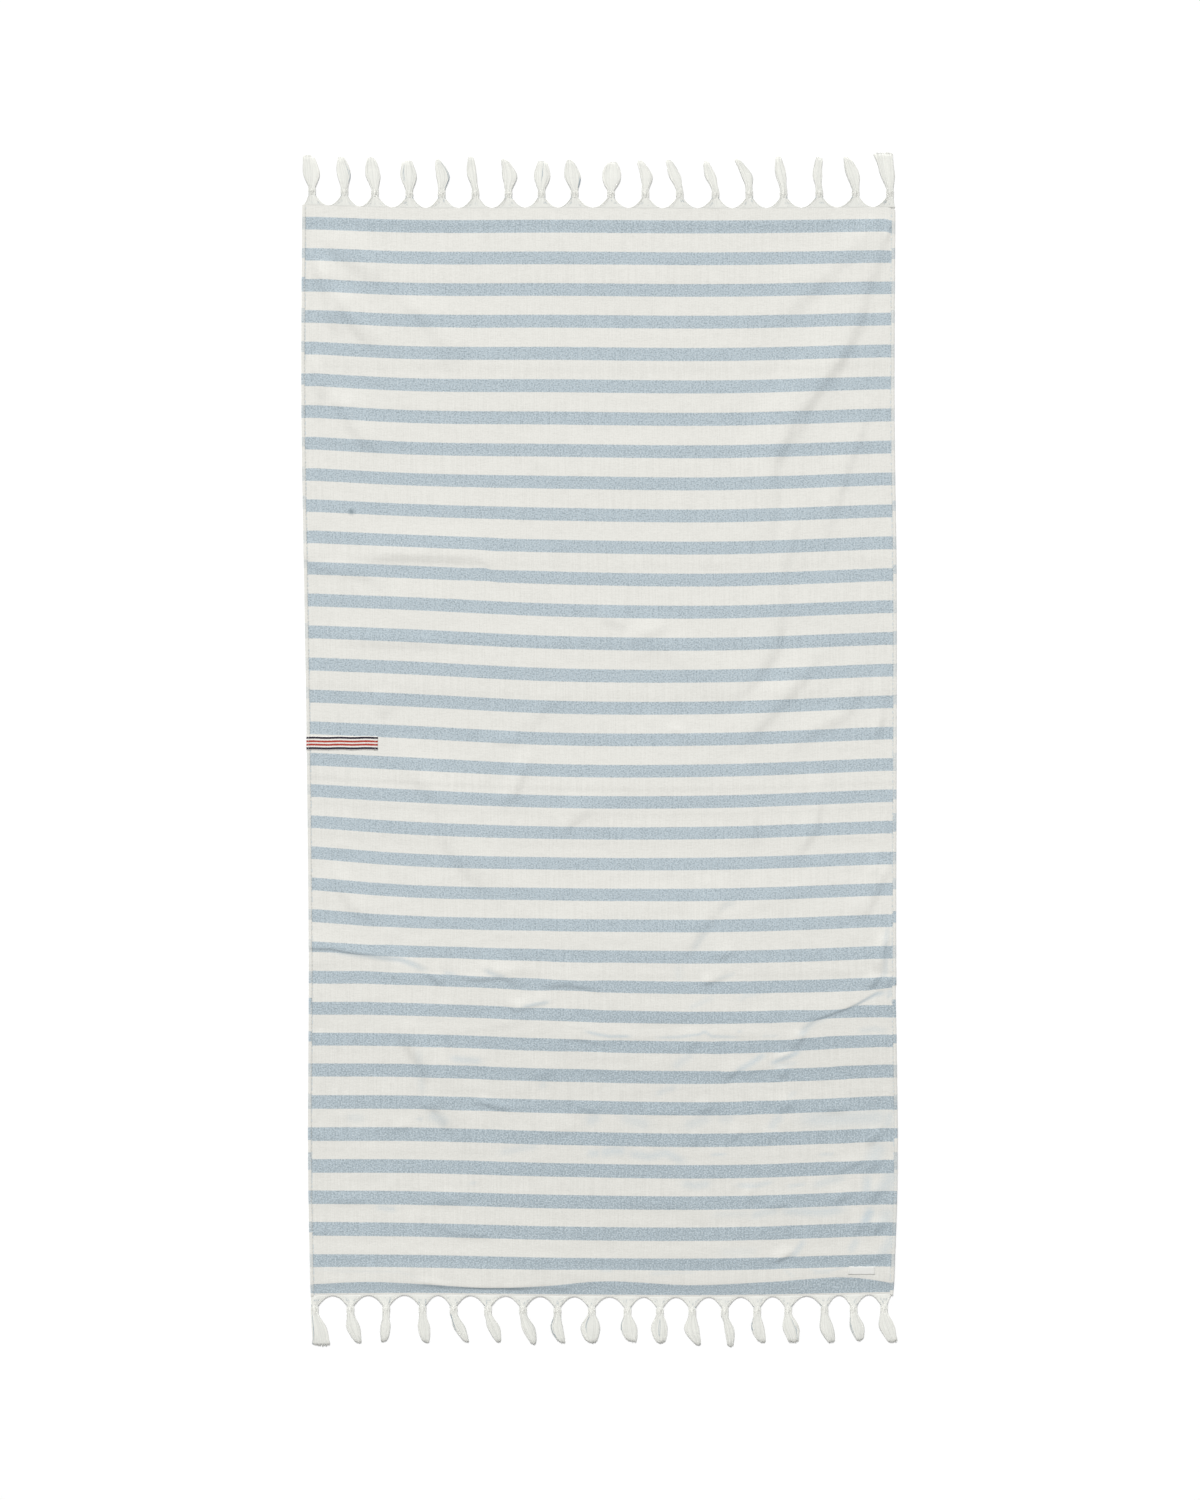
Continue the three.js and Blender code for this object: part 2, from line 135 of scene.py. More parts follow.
softFolds = [
    foldRow([(428, 803), (405, 780), (385, 752), (360, 727), (320, 690), (300, 672), (275, 645),
            (248, 614)], 22, 60, 1.6, ends=(0.5, 0)),
    foldRow([(432, 765), (418, 720), (408, 700), (400, 665), (392, 640), (380, 615), (366, 590),
            (345, 562), (322, 527), (302, 503), (283, 465), (270, 437), (267, 415), (269, 390),
            (268, 365), (263, 338), (255, 300), (247, 255), (240, 215)], 19, 70, 3.4, ends=(0.7, 0)),
    foldRow([(382, 620), (368, 585), (356, 550), (343, 520)], 12, 30, 0.9),
    foldRow([(318, 510), (308, 490), (300, 468)], 6, 14, 1.3),
    foldRow([(414, 562), (408, 520), (404, 500), (393, 465), (382, 440), (374, 412), (366, 390),
            (356, 352), (348, 325), (345, 280)], 13, 46, 2.2),
    foldRow([(301, 400), (306, 372), (301, 345), (294, 318), (286, 292), (279, 258), (279, 220),
            (276, 185), (268, 152), (254, 128), (235, 104), (212, 83), (190, 68), (168, 44)], 18, 62,
            2.6),
    foldRow([(353, 177), (330, 140), (314, 113), (298, 93), (282, 74), (262, 54), (242, 33), (218, 8),
            (190, -16)], 17, 52, 2.3),
    foldRow([(413, 125), (398, 104), (391, 84), (380, 60), (368, 47), (347, 38), (325, 27), (303, 8),
            (280, -20)], 12, 36, 1.4),
    foldRow([(431, 145), (429, 110), (430, 75), (429, 48), (418, 15), (409, 8)], 6, 14, 2.2),
    foldRow([(-8, 203), (22, 192), (48, 186)], 12, 30, 1.4),
    foldRow([(26, 158), (60, 167), (84, 178), (104, 190), (120, 199)], 11, 34, 1.1),
    foldRow([(20, 150), (80, 146), (110, 135), (130, 118), (150, 92), (172, 68)], 26, 60, 1.2),
    foldRow([(95, 25), (112, 27), (135, 26)], 6, 14, 1.0),
    foldRow([(96, 14), (140, 13), (175, 14)], 5, 12, 0.8),
    foldRow([(-434, 797), (-420, 770), (-400, 752), (-382, 738), (-362, 724), (-342, 712), (-318, 700)],
            17, 52, 1.9),
    foldRow([(-310, 694), (-285, 665), (-262, 645), (-246, 612), (-241, 575)], 18, 50, 2.3),
    foldRow([(-441, 765), (-430, 735), (-424, 712), (-416, 688), (-412, 660), (-403, 618)], 14, 32, 4.2),
    foldRow([(-404, 712), (-397, 685), (-388, 664), (-374, 642), (-358, 620), (-348, 600)], 13, 40, 3.2),
    foldRow([(-441, 605), (-434, 572), (-430, 550), (-426, 525)], 9, 18, 2.4),
    foldRow([(-412, 565), (-402, 527), (-388, 508), (-376, 488), (-364, 468), (-340, 455), (-310, 446)],
            16, 50, 2.4),
    foldRow([(-405, 297), (-350, 289), (-300, 291), (-250, 291), (-200, 289), (-176, 284), (-165, 270),
            (-154, 246)], 11, 52, 1.9),
    foldRow([(-443, 288), (-425, 273), (-400, 270), (-375, 268), (-350, 260), (-322, 238)], 11, 36, 1.3,
            ends=(0.8, 0)),
    foldRow([(-430, 168), (-300, 161), (-190, 157)], 5, 22, 1.2),
    foldRow([(-345, 95), (-338, 68), (-328, 48)], 14, 40, 1.4),
    foldRow([(-170, 15), (-140, 15), (-108, 14)], 4, 14, 1.4),
    foldRow([(-45, 78), (-75, 66), (-95, 45), (-105, 20)], 12, 30, 0.9),
    foldRow([(-92, 10), (-104, -18), (-114, -38), (-124, -60), (-138, -82), (-152, -98)], 9, 28, 1.6),
    foldRow([(-328, -6), (-300, -25), (-275, -50), (-253, -75), (-244, -105), (-239, -135),
            (-220, -163), (-195, -193), (-165, -221), (-142, -242)], 20, 60, 2.9),
    foldRow([(0, -82), (-20, -95), (-36, -106), (-48, -119), (-64, -132)], 12, 40, 1.6),
    foldRow([(-412, -160), (-405, -192), (-394, -215), (-375, -236), (-358, -252), (-330, -266)], 12,
            38, 1.9),
    foldRow([(-208, -291), (-170, -285), (-130, -278), (-98, -271)], 4, 9, 0.4),
    foldRow([(-310, -352), (-305, -395), (-298, -438), (-274, -474), (-259, -500), (-255, -528),
            (-240, -558), (-224, -580), (-214, -600), (-208, -622)], 18, 52, 4.0, ends=(0.6, 0)),
    foldRow([(-30, -420), (0, -430), (60, -437), (130, -434), (200, -430), (290, -434)], 14, 16, 0.5,
            ends=(0.6, 0.4)),
    foldRow([(342, -28), (335, -60), (335, -86), (330, -110), (324, -126), (313, -142), (304, -160),
            (292, -175)], 9, 34, 1.9),
    foldRow([(218, 0), (228, -40), (238, -90), (240, -125), (235, -165)], 10, 38, 1.7),
    foldRow([(404, -152), (410, -175), (413, -192)], 5, 14, 2.0),
    foldRow([(443, -165), (432, -190), (424, -206), (415, -225), (406, -245), (397, -264)], 11, 36, 2.3),
    foldRow([(98, -145), (112, -190), (118, -222), (124, -262)], 7, 22, 1.5),
    foldRow([(328, -213), (300, -222), (270, -226), (250, -229), (235, -238), (217, -247)], 7, 30, 0.7),
    foldRow([(222, -222), (192, -228), (178, -243), (165, -260), (156, -274), (142, -294), (130, -314),
            (116, -338)], 15, 50, 1.7),
    foldRow([(208, -298), (196, -308), (178, -318)], 8, 28, 1.1),
    foldRow([(156, -434), (142, -445), (130, -456)], 10, 30, 0.9),
    foldRow([(-184, -424), (-150, -418), (-122, -411), (-96, -398)], 15, 30, 0.8),
    foldRow([(-192, -313), (-180, -325), (-160, -333), (-140, -341), (-124, -356)], 12, 34, 1.2),
    foldRow([(0, -400), (60, -410), (110, -408), (160, -398), (220, -402)], 20, 40, 0.5),
    foldRow([(-105, -500), (-80, -490), (-60, -478)], 14, 32, 1.1, dyeAndShade=0.15),
    foldRow([(-95, -588), (-60, -578), (-30, -573)], 12, 34, 0.9),
    foldRow([(-262, -714), (-245, -719), (-230, -727), (-212, -733), (-150, -736)], 8, 30, 0.9, dyeAndShade=0.3),
    foldRow([(-420, -682), (-360, -683), (-340, -684)], 8, 26, 0.7, dyeAndShade=0.25),
    foldRow([(-262, -684), (-230, -685), (-200, -686)], 9, 30, 1.1, dyeAndShade=0.4),
    foldRow([(0, -684), (60, -688), (150, -688)], 9, 30, 0.5),
    foldRow([(175, -538), (160, -543), (145, -550)], 8, 24, 1.1, dyeAndShade=0.4),
    foldRow([(300, -532), (285, -540), (266, -545)], 9, 28, 1.1, dyeAndShade=0.4),
    foldRow([(384, -540), (360, -545), (330, -546)], 9, 26, 1.1, dyeAndShade=0.4),
    foldRow([(220, -572), (208, -582), (196, -592)], 6, 20, 1.0, dyeAndShade=0.3),
    foldRow([(275, -576), (262, -586), (250, -592)], 7, 22, 1.0),
    foldRow([(294, -684), (270, -689), (248, -690)], 6, 22, 1.0, dyeAndShade=0.4),
    foldRow([(384, -664), (370, -676), (352, -687)], 8, 24, 1.1, dyeAndShade=0.35),
    foldRow([(443, -752), (422, -767), (402, -771), (372, -777), (345, -781)], 7, 24, 0.4, dyeAndShade=0.1,
            ends=(1, 0)),
]
creases = [
    foldRow([(-443, -297), (-425, -298), (-405, -298), (-390, -302), (-370, -305), (-345, -307),
            (-312, -310)], 5.5, 26, 1.1, tuck=4.5, dyeAndShade=0.2, ends=(0.9, 0)),
    foldRow([(-405, -305), (-370, -312), (-340, -314), (-310, -313), (-290, -317), (-270, -325),
            (-248, -331), (-225, -342)], 10, 22, 0.6, tuck=2),
    foldRow([(-270, -336), (-258, -341), (-245, -350), (-230, -354)], 7, 20, 1.2, dyeAndShade=0.3),
    foldRow([(-222, -338), (-200, -344), (-185, -346), (-150, -343), (-130, -350), (-110, -362)], 6, 24,
            1.3, tuck=1.5),
    foldRow([(-102, -352), (-75, -356), (-50, -353), (-25, -357), (0, -362), (16, -366)], 9, 38, 1.2,
            tuck=3.5, dyeAndShade=0.2),
    foldRow([(-160, -358), (-148, -370), (-140, -384), (-130, -392), (-110, -388), (-88, -382),
            (-62, -380)], 7, 22, 1.1, tuck=1),
    foldRow([(-66, -438), (-40, -436), (-22, -437), (0, -442), (30, -444)], 6, 26, 0.7, tuck=1.5),
    foldRow([(-195, -529), (-170, -535), (-150, -540), (-128, -544)], 4, 16, 1.3, tuck=1, dyeAndShade=0.4),
    foldRow([(-318, -575), (-296, -570), (-278, -567)], 4, 16, 0.9, dyeAndShade=0.4),
    foldRow([(444, -338), (437, -350), (433, -356)], 6, 14, 1.0, dyeAndShade=0.3),
    foldRow([(427, -336), (416, -350), (404, -359)], 9, 20, 2.0, tuck=2, dyeAndShade=0.4),
    foldRow([(438, -356), (414, -367), (392, -380), (370, -390), (348, -398), (326, -406), (306, -419),
            (297, -430)], 8, 42, 1.1, tuck=7, dyeAndShade=0.3, ends=(0.4, 0.2)),
    foldRow([(314, -424), (305, -437), (295, -454)], 9, 26, 1.8, tuck=2.5, dyeAndShade=0.2),
    foldRow([(295, -456), (282, -463), (262, -470)], 12, 6, 1.0, tuck=1.5),
    foldRow([(286, -478), (279, -496)], 7, 18, 1.8, dyeAndShade=0.3),
    foldRow([(218, -476), (208, -484), (199, -491), (186, -500)], 7, 24, 1.1, tuck=3, dyeAndShade=0.3),
    foldRow([(248, -480), (228, -486), (212, -493)], 6, 20, 0.6, tuck=1, dyeAndShade=0.3),
    foldRow([(438, -270), (432, -300), (430, -335)], 8, 20, 3.0, dyeAndShade=0.3),
    foldRow([(176, -345), (164, -352), (150, -354)], 7, 18, 1.4),
    foldRow([(408, -617), (390, -624), (372, -632), (346, -641)], 5, 24, 0.9, tuck=1.5, dyeAndShade=0.35),
    foldRow([(430, -620), (414, -628), (403, -638)], 8, 20, 1.1, dyeAndShade=0.4),
    foldRow([(430, -655), (417, -674), (404, -686)], 10, 24, 1.1, dyeAndShade=0.4),
    foldRow([(406, -708), (398, -720), (392, -732)], 9, 20, 1.0, dyeAndShade=0.35),
    foldRow([(436, -710), (424, -720), (416, -732)], 9, 20, 1.2, dyeAndShade=0.5),
    foldRow([(428, -572), (416, -588), (404, -598)], 8, 20, 1.6, dyeAndShade=0.3),
    foldRow([(300, -754), (280, -765), (258, -776)], 5.5, 20, 1.6, tuck=1.5, dyeAndShade=0.4),
    foldRow([(146, -572), (148, -598)], 4, 9, 1.4, dyeAndShade=0.4),
    foldRow([(230, -650), (230, -692)], 5, 12, 1.6),
    foldRow([(-275, -530), (-258, -541), (-240, -545)], 6, 20, 1.2, dyeAndShade=0.4),
    foldRow([(-40, -536), (-18, -544), (5, -548)], 6, 20, 1.1, dyeAndShade=0.4),
    foldRow([(195, -340), (174, -347), (155, -352)], 6, 20, 1.0, dyeAndShade=0.3),
    foldRow([(60, -548), (96, -551), (130, -550)], 5, 18, 0.7, dyeAndShade=0.3),
    foldRow([(-190, 296), (-170, 280), (-158, 262), (-150, 245)], 6, 20, 0.4, tuck=4),
    foldRow([(-285, -803), (-250, -806), (-220, -814)], 5, 10, 0.5, dyeAndShade=0.4),
    foldRow([(-150, -813), (-105, -813)], 5, 10, 0.5, dyeAndShade=0.35),
    foldRow([(-80, -812), (-60, -814), (-35, -812)], 5, 10, 0.5, dyeAndShade=0.35),
]

# Painted shade in pale blue-grey on the white, along creases and in patches beside them: a line,
# the mark's width, and how blue it is.
paintedShadeLines = [
    ([(279, -783), (286, -788), (293, -794)], 3, 0.35),
    ([(316, -782), (332, -785), (354, -783), (376, -778)], 3, 0.4),
    ([(79, -786), (126, -788), (148, -786)], 3, 0.25),
    ([(-434, -782), (-390, -785), (-343, -786), (-306, -785), (-281, -793), (-265, -800)], 3, 0.2),
    ([(182, -237), (205, -225)], 7, 0.3), ([(142, -300), (150, -285), (162, -270)], 9, 0.35),
    ([(120, -345), (118, -322)], 10, 0.2), ([(178, -343), (205, -335)], 5, 0.35),
    ([(135, -388), (172, -370)], 7, 0.3), ([(210, -375), (222, -368), (245, -362)], 7, 0.35),
    ([(368, -394), (400, -376), (418, -367), (434, -366)], 7, 1.0),
    ([(437, -374), (441, -360)], 6, 0.6),
    ([(426, -345), (432, -330), (432, -290), (436, -262)], 7, 0.5),
    ([(303, -432), (314, -416), (328, -405), (345, -403)], 11, 0.6),
    ([(-22, -422), (0, -427), (15, -430), (48, -430)], 4, 0.9),
    ([(85, -432), (120, -431), (150, -427), (158, -422), (170, -430), (212, -431)], 4, 0.7),
    ([(210, -423), (214, -422)], 4, 0.6), ([(245, -430), (270, -428)], 4, 0.3),
    ([(392, -424), (415, -420), (436, -424)], 8, 0.35),
    ([(112, -478), (120, -470), (132, -462), (140, -456)], 11, 0.4),
    ([(204, -484), (222, -474), (240, -463), (250, -456)], 8, 0.75),
    ([(258, -471), (285, -462), (304, -452)], 7, 0.9), ([(262, -477), (300, -470)], 6, 0.35),
    ([(85, -518), (102, -510), (116, -507)], 8, 0.4), ([(285, -522), (297, -514)], 6, 0.3),
    ([(32, -550), (52, -558), (76, -564)], 16, 0.4), ([(128, -566), (148, -559), (168, -552)], 14, 0.4),
    ([(180, -556), (202, -552)], 13, 0.35), ([(258, -570), (266, -558), (276, -550)], 11, 0.5),
    ([(300, -556), (440, -553)], 20, 0.5), ([(0, -607), (20, -603), (40, -604)], 13, 0.65),
    ([(40, -606), (75, -612), (100, -606), (116, -614), (132, -622)], 11, 0.6),
    ([(168, -608), (192, -610)], 4, 0.6), ([(332, -608), (355, -609)], 4, 0.5),
    ([(124, -652), (145, -656), (168, -652)], 11, 0.5),
    ([(206, -655), (235, -656), (262, -650)], 6, 0.6), ([(284, -657), (312, -653)], 5, 0.5),
    ([(322, -656), (350, -648), (372, -643)], 10, 0.45), ([(170, -700), (230, -698)], 9, 0.25),
    ([(228, -702), (248, -696), (272, -693)], 11, 0.5),
    ([(272, -694), (340, -696), (372, -690)], 12, 0.6), ([(180, -757), (240, -755)], 12, 0.2),
    ([(310, -738), (298, -755), (288, -766)], 8, 0.6), ([(390, -736), (378, -756)], 10, 0.5),
    ([(0, -783), (20, -784)], 5, 0.4), ([(75, -789), (110, -788)], 5, 0.3),
    ([(322, -787), (352, -786)], 5, 0.35), ([(418, -545), (414, -562)], 26, 0.45),
    ([(440, -545), (434, -568)], 12, 0.5), ([(425, -592), (410, -622)], 22, 0.5),
    ([(405, -640), (404, -668)], 12, 0.6), ([(446, -632), (434, -655), (414, -684)], 20, 0.6),
    ([(412, -690), (405, -702), (398, -720)], 12, 1.0), ([(436, -690), (430, -722)], 20, 0.45),
    ([(444, -732), (430, -756), (426, -770)], 14, 0.5),
    ([(-405, -303), (-375, -306), (-340, -310), (-300, -314), (-280, -322), (-262, -331)], 8, 0.85),
    ([(-236, -333), (-218, -337)], 5, 0.6), ([(-174, -329), (-158, -337), (-142, -341)], 6, 0.7),
    ([(-118, -386), (-100, -382), (-76, -379)], 5, 0.8),
    ([(-226, -463), (-205, -466), (-178, -468)], 9, 0.6),
    ([(-275, -448), (-272, -475), (-268, -518)], 10, 0.3), ([(-90, -506), (-80, -500)], 9, 0.35),
    ([(-258, -546), (-242, -555), (-230, -564)], 15, 0.55), ([(-382, -553), (-356, -554)], 12, 0.3),
    ([(-276, -555), (-268, -556)], 5, 0.5), ([(-20, -560), (0, -550)], 14, 0.5),
    ([(-152, -606), (-120, -600), (-92, -595)], 9, 0.4), ([(-18, -607), (0, -607)], 10, 0.6),
    ([(-338, -688), (-308, -692)], 7, 0.6), ([(-196, -652), (-186, -652)], 5, 0.4),
]


def curveThrough(at, stations, values):
    # a smooth curve through the stations of a short table, level beyond its ends
    stations = np.asarray(stations, float)
    values = np.asarray(values, float)
    slopes = np.gradient(values, stations)
    at = np.clip(at, stations[0], stations[-1])
    k = np.clip(np.searchsorted(stations, at, side="right") - 1, 0, len(stations) - 2)
    step = stations[k + 1] - stations[k]
    t = (at - stations[k]) / step
    rise = (3 - 2 * t) * t * t
    lead = t * (1 - t) ** 2 * slopes[k] - t * t * (1 - t) * slopes[k + 1]
    return values[k] + (values[k + 1] - values[k]) * rise + step * lead


def bow(x, row):
    stations = list(cloth["bows"])
    table = np.array(list(cloth["bows"].values()), float)
    total = 0
    for place in range(len(cloth["bowAcross"])):
        share = curveThrough(x, cloth["bowAcross"], np.eye(len(cloth["bowAcross"]))[place])
        total = total + share * curveThrough(row, stations, table[:, place])
    return total


def edges(row):
    # where the cloth's two long edges lie
    left = curveThrough(row, cloth["edgeAt"], cloth["leftEdge"])
    right = curveThrough(row, cloth["edgeAt"], cloth["rightEdge"])
    return left, right


def smoothStep(t):
    t = np.clip(t, 0, 1)
    return t * t * (3 - 2 * t)


def hump(t):
    return np.where(np.abs(t) < 1, 0.5 + 0.5 * np.cos(np.pi * np.clip(t, -1, 1)), 0)


def alongLine(line, x, y):
    # for each point, its share of the way along the line, its distance from it, positive to the left
    # of the line, and the line's left-hand normal there
    points = np.asarray(line, float)
    runs = np.diff(points, axis=0)
    lengths = np.hypot(runs[:, 0], runs[:, 1])
    before = np.concatenate([[0], np.cumsum(lengths)])
    nearest = np.full(x.shape, 1e9)
    share, side = np.zeros(x.shape), np.zeros(x.shape)
    normalX, normalY = np.zeros(x.shape), np.zeros(x.shape)
    for k, (start, run, length) in enumerate(zip(points, runs, lengths)):
        t = np.clip(((x - start[0]) * run[0] + (y - start[1]) * run[1]) / length**2, 0, 1)
        dx, dy = x - start[0] - t * run[0], y - start[1] - t * run[1]
        away = np.hypot(dx, dy)
        left = np.where(run[0] * dy - run[1] * dx >= 0, 1, -1)
        closer = away < nearest
        nearest = np.where(closer, away, nearest)
        share = np.where(closer, (before[k] + t * length) / before[-1], share)
        side = np.where(closer, left, side)
        normalX = np.where(closer, -run[1] / length, normalX)
        normalY = np.where(closer, run[0] / length, normalY)
    return share, nearest * side, normalX, normalY


def foldStrength(fold, share):
    first, last = fold["ends"]
    run = 0.35  # the share of a fold's length over which it rises from its end
    rise = first + (1 - first) * smoothStep(share / run)
    return rise * (last + (1 - last) * smoothStep((1 - share) / run))


def litSide(fold):
    # 1 where the key light comes from the left of the fold's line, or -1
    (x0, y0), (x1, y1) = fold["line"][0], fold["line"][-1]
    return 1 if (y0 - y1) * keyTowards[0] + (x1 - x0) * keyTowards[1] > 0 else -1


def foldHeight(fold, share, distance):
    fromCrest = distance * litSide(fold) - 0.5 * fold["steep"]
    width = np.where(fromCrest > 0, fold["gentle"], fold["steep"])
    return fold["high"] * foldStrength(fold, share) * hump(fromCrest / width)


def unevenGrid(x, y, stepX, stepY):
    # smooth hills and hollows between 0 and 1, about one step across
    wide, long = 1000, 1800  # an area that the cloth lies well within
    heights = draws.random((int(long / stepY) + 4, int(wide / stepX) + 4))
    gx, gy = (x + wide / 2) / stepX, (y + long / 2) / stepY
    c, r = np.floor(gx).astype(int), np.floor(gy).astype(int)
    tx, ty = smoothStep(gx - c), smoothStep(gy - r)
    low = heights[r, c] * (1 - tx) + heights[r, c + 1] * tx
    high = heights[r + 1, c] * (1 - tx) + heights[r + 1, c + 1] * tx
    return low * (1 - ty) + high * ty


# The turned hem's profile: how far from the edge, and how many layers high its top is there. It has a
# rounded edge, two layers, and a stitched groove where the hem ends.
hem = {
    "width": 5,
    "at": [0, 0.4, 1, 2.5, 4, 4.7, 5.3, 6.2, 8, 13],
    "layers": [0.9, 1.5, 1.8, 1.9, 1.75, 1.45, 0.95, 0.95, 1.05, 1],
    "inner": 11,  # where the even columns of points between the hems begin
}


def clothColumns():
    # shares of the width from the left edge: close together over the hems, even between them
    wide = cloth["laidWidth"]
    close = np.array(hem["at"][:-1])
    inner = np.linspace(hem["inner"], wide - hem["inner"], 207)
    return np.concatenate([close, inner, wide - close[::-1]]) / wide


def clothRows():
    # close together at the two ends, over the end ridge and where the sharp creases lie
    return np.concatenate([
        [-halfLength],
        np.linspace(0.3 - halfLength, -762, 26, endpoint=False),
        np.linspace(-762, -540, 54, endpoint=False),
        np.linspace(-540, -440, 31, endpoint=False),
        np.linspace(-440, -414, 16, endpoint=False),
        np.linspace(-414, -290, 40, endpoint=False),
        np.linspace(-290, halfLength - 0.3, 178),
        [halfLength],
    ])


def layCloth():
    shares, rows = clothColumns(), clothRows()
    share, row = np.meshgrid(shares, rows)
    left, right = edges(row)
    x = left + (right - left) * share
    fromEdge = np.minimum(share, 1 - share) * cloth["laidWidth"]
    fromCrest = row - endRidge["row"]
    sway = curveThrough(x, endRidge["across"], endRidge["sway"])
    y = row + bow(x, row) + sway * hump(fromCrest / endRidge["front"])
    corner = cloth["corner"]
    drawn = smoothStep((x - corner["across"]) / corner["over"])
    y = y - corner["drop"] * drawn * smoothStep((row - corner["row"]) / corner["overRows"])

    # the ridge, the air under the cloth and the ripples
    ridgeShape = hump(fromCrest / np.where(fromCrest > 0, endRidge["back"], endRidge["front"]))
    lift = curveThrough(x, endRidge["across"], endRidge["high"]) * ridgeShape
    coarse, coarser = (unevenGrid(x, y, *size) for size in cloth["airSizes"])
    air = np.clip(coarse * coarser * 2.2 - 0.45, 0, 1)  # none in the hollows, where the cloth touches
    lift = lift + cloth["airUnder"] * air
    fine, finer = (unevenGrid(x, y, *size) for size in cloth["rippleSizes"])
    start, full = cloth["rippleRows"]
    lift = lift + cloth["ripple"] * smoothStep((start - row) / (start - full)) * (fine + finer)

    # the folds, which lift the cloth and draw it in from both sides
    moveX, moveY, dyeAndShade = np.zeros(x.shape), np.zeros(x.shape), np.zeros(x.shape)
    for fold in softFolds + creases:
        place, distance, normalX, normalY = alongLine(fold["line"], x, y)
        strength = foldStrength(fold, place)
        lift = lift + foldHeight(fold, place, distance)
        pull = 0.5 * fold["tuck"] * strength * np.tanh(distance / (0.6 * fold["steep"]))
        pull = pull * np.exp(-np.abs(distance) / 60)
        moveX = moveX - pull * normalX
        moveY = moveY - pull * normalY
        # painted shade: the blue is deepened along each fold's shaded side
        dyeAndShade = np.maximum(dyeAndShade, fold["dyeAndShade"] * strength * hump(distance / (1.1 * fold["steep"])))
    endFade = smoothStep((halfLength - np.abs(row)) / np.where(row > 0, *cloth["settles"]))
    lift = lift * endFade

    # painted shade in pale blue-grey along the lines listed above
    paintedShadeTint = np.zeros(x.shape)
    for line, wide, much in paintedShadeLines:
        place, distance = alongLine(line, x, y)[:2]
        taper = smoothStep(0.3 + 4 * np.minimum(place, 1 - place))
        paintedShadeTint = np.maximum(paintedShadeTint, much * taper * hump(distance / wide))
    # painted shade in bands across the cloth
    shadeBands = sum(much * hump((row - middle) / half) for middle, half, much in cloth["shadeBands"])
    numbers, at = list(cloth["stripeAt"]), list(cloth["stripeAt"].values())
    flatAt = cloth["firstStripe"] + cloth["stripePitch"] * (np.array(numbers) - 1)
    return {
        "shares": shares,
        "rows": rows,
        "x": x + moveX * endFade,
        "y": y + moveY * endFade,
        "lift": lift,
        "top": lift + np.interp(fromEdge, hem["at"], hem["layers"]) * cloth["thickness"],
        "flatU": share * cloth["flatWidth"],
        "flatV": np.interp(row, at[::-1], flatAt[::-1]),
        "paintedCreaseShade": dyeAndShade,
        "paintedShadeTint": paintedShadeTint,
        "shadeBands": shadeBands,
    }


laid = layCloth()
print("cloth laid out:", laid["x"].shape, "highest", round(float(laid["top"].max()), 1), "mm")

# The towel's frame is centred on its box, so the cloth's place in it is read from the CAD cloth.
clothLow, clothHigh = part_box("cloth")
shift = (clothLow + clothHigh) / 2 - mm * Vector(cloth["middle"] + (0,))
shift.z = 0


def clothPoint(fromLeft, row, offset=0.0):
    # a point on the cloth's top, from its distance to the left edge and its row, both in millimetres
    shares, rows = laid["shares"], laid["rows"]
    columns = np.interp(np.asarray(fromLeft) / cloth["laidWidth"], shares, np.arange(len(shares)))
    lines = np.interp(row, rows, np.arange(len(rows)))
    columns, lines = np.broadcast_arrays(columns, lines)
    c = np.minimum(columns.astype(int), len(shares) - 2)
    r = np.minimum(lines.astype(int), len(rows) - 2)
    tc, tr = columns - c, lines - r
    found = []
    for key in ("x", "y", "top"):
        grid = laid[key]
        low = grid[r, c] * (1 - tc) + grid[r, c + 1] * tc
        high = grid[r + 1, c] * (1 - tc) + grid[r + 1, c + 1] * tc
        found.append(low * (1 - tr) + high * tr)
    found[2] = found[2] + offset
    return np.stack(found, axis=-1)


def addMesh(name, points, faces):
    # points in millimetres in the cloth's frame; the finished object sits at the origin
    mesh = bpy.data.meshes.new(name)
    placed = np.asarray(points, float) * mm + np.array(shift)
    mesh.from_pydata(placed.tolist(), [], faces)
    mesh.polygons.foreach_set("use_smooth", np.full(len(mesh.polygons), True))
    mesh.update()
    made = bpy.data.objects.new(name, mesh)
    bpy.context.scene.collection.objects.link(made)
    return made


def addMark(made, name, values):
    # one number for each point, which the piece's material reads
    attribute = made.data.attributes.new(name, "FLOAT", "POINT")
    attribute.data.foreach_set("value", np.asarray(values, np.float32).ravel())


def gridFaces(rowCount, columnCount, first=0, flip=False):
    at = first + np.arange(rowCount * columnCount).reshape(rowCount, columnCount)
    quads = np.stack([at[:-1, :-1], at[:-1, 1:], at[1:, 1:], at[1:, :-1]], axis=-1).reshape(-1, 4)
    return quads[:, ::-1] if flip else quads


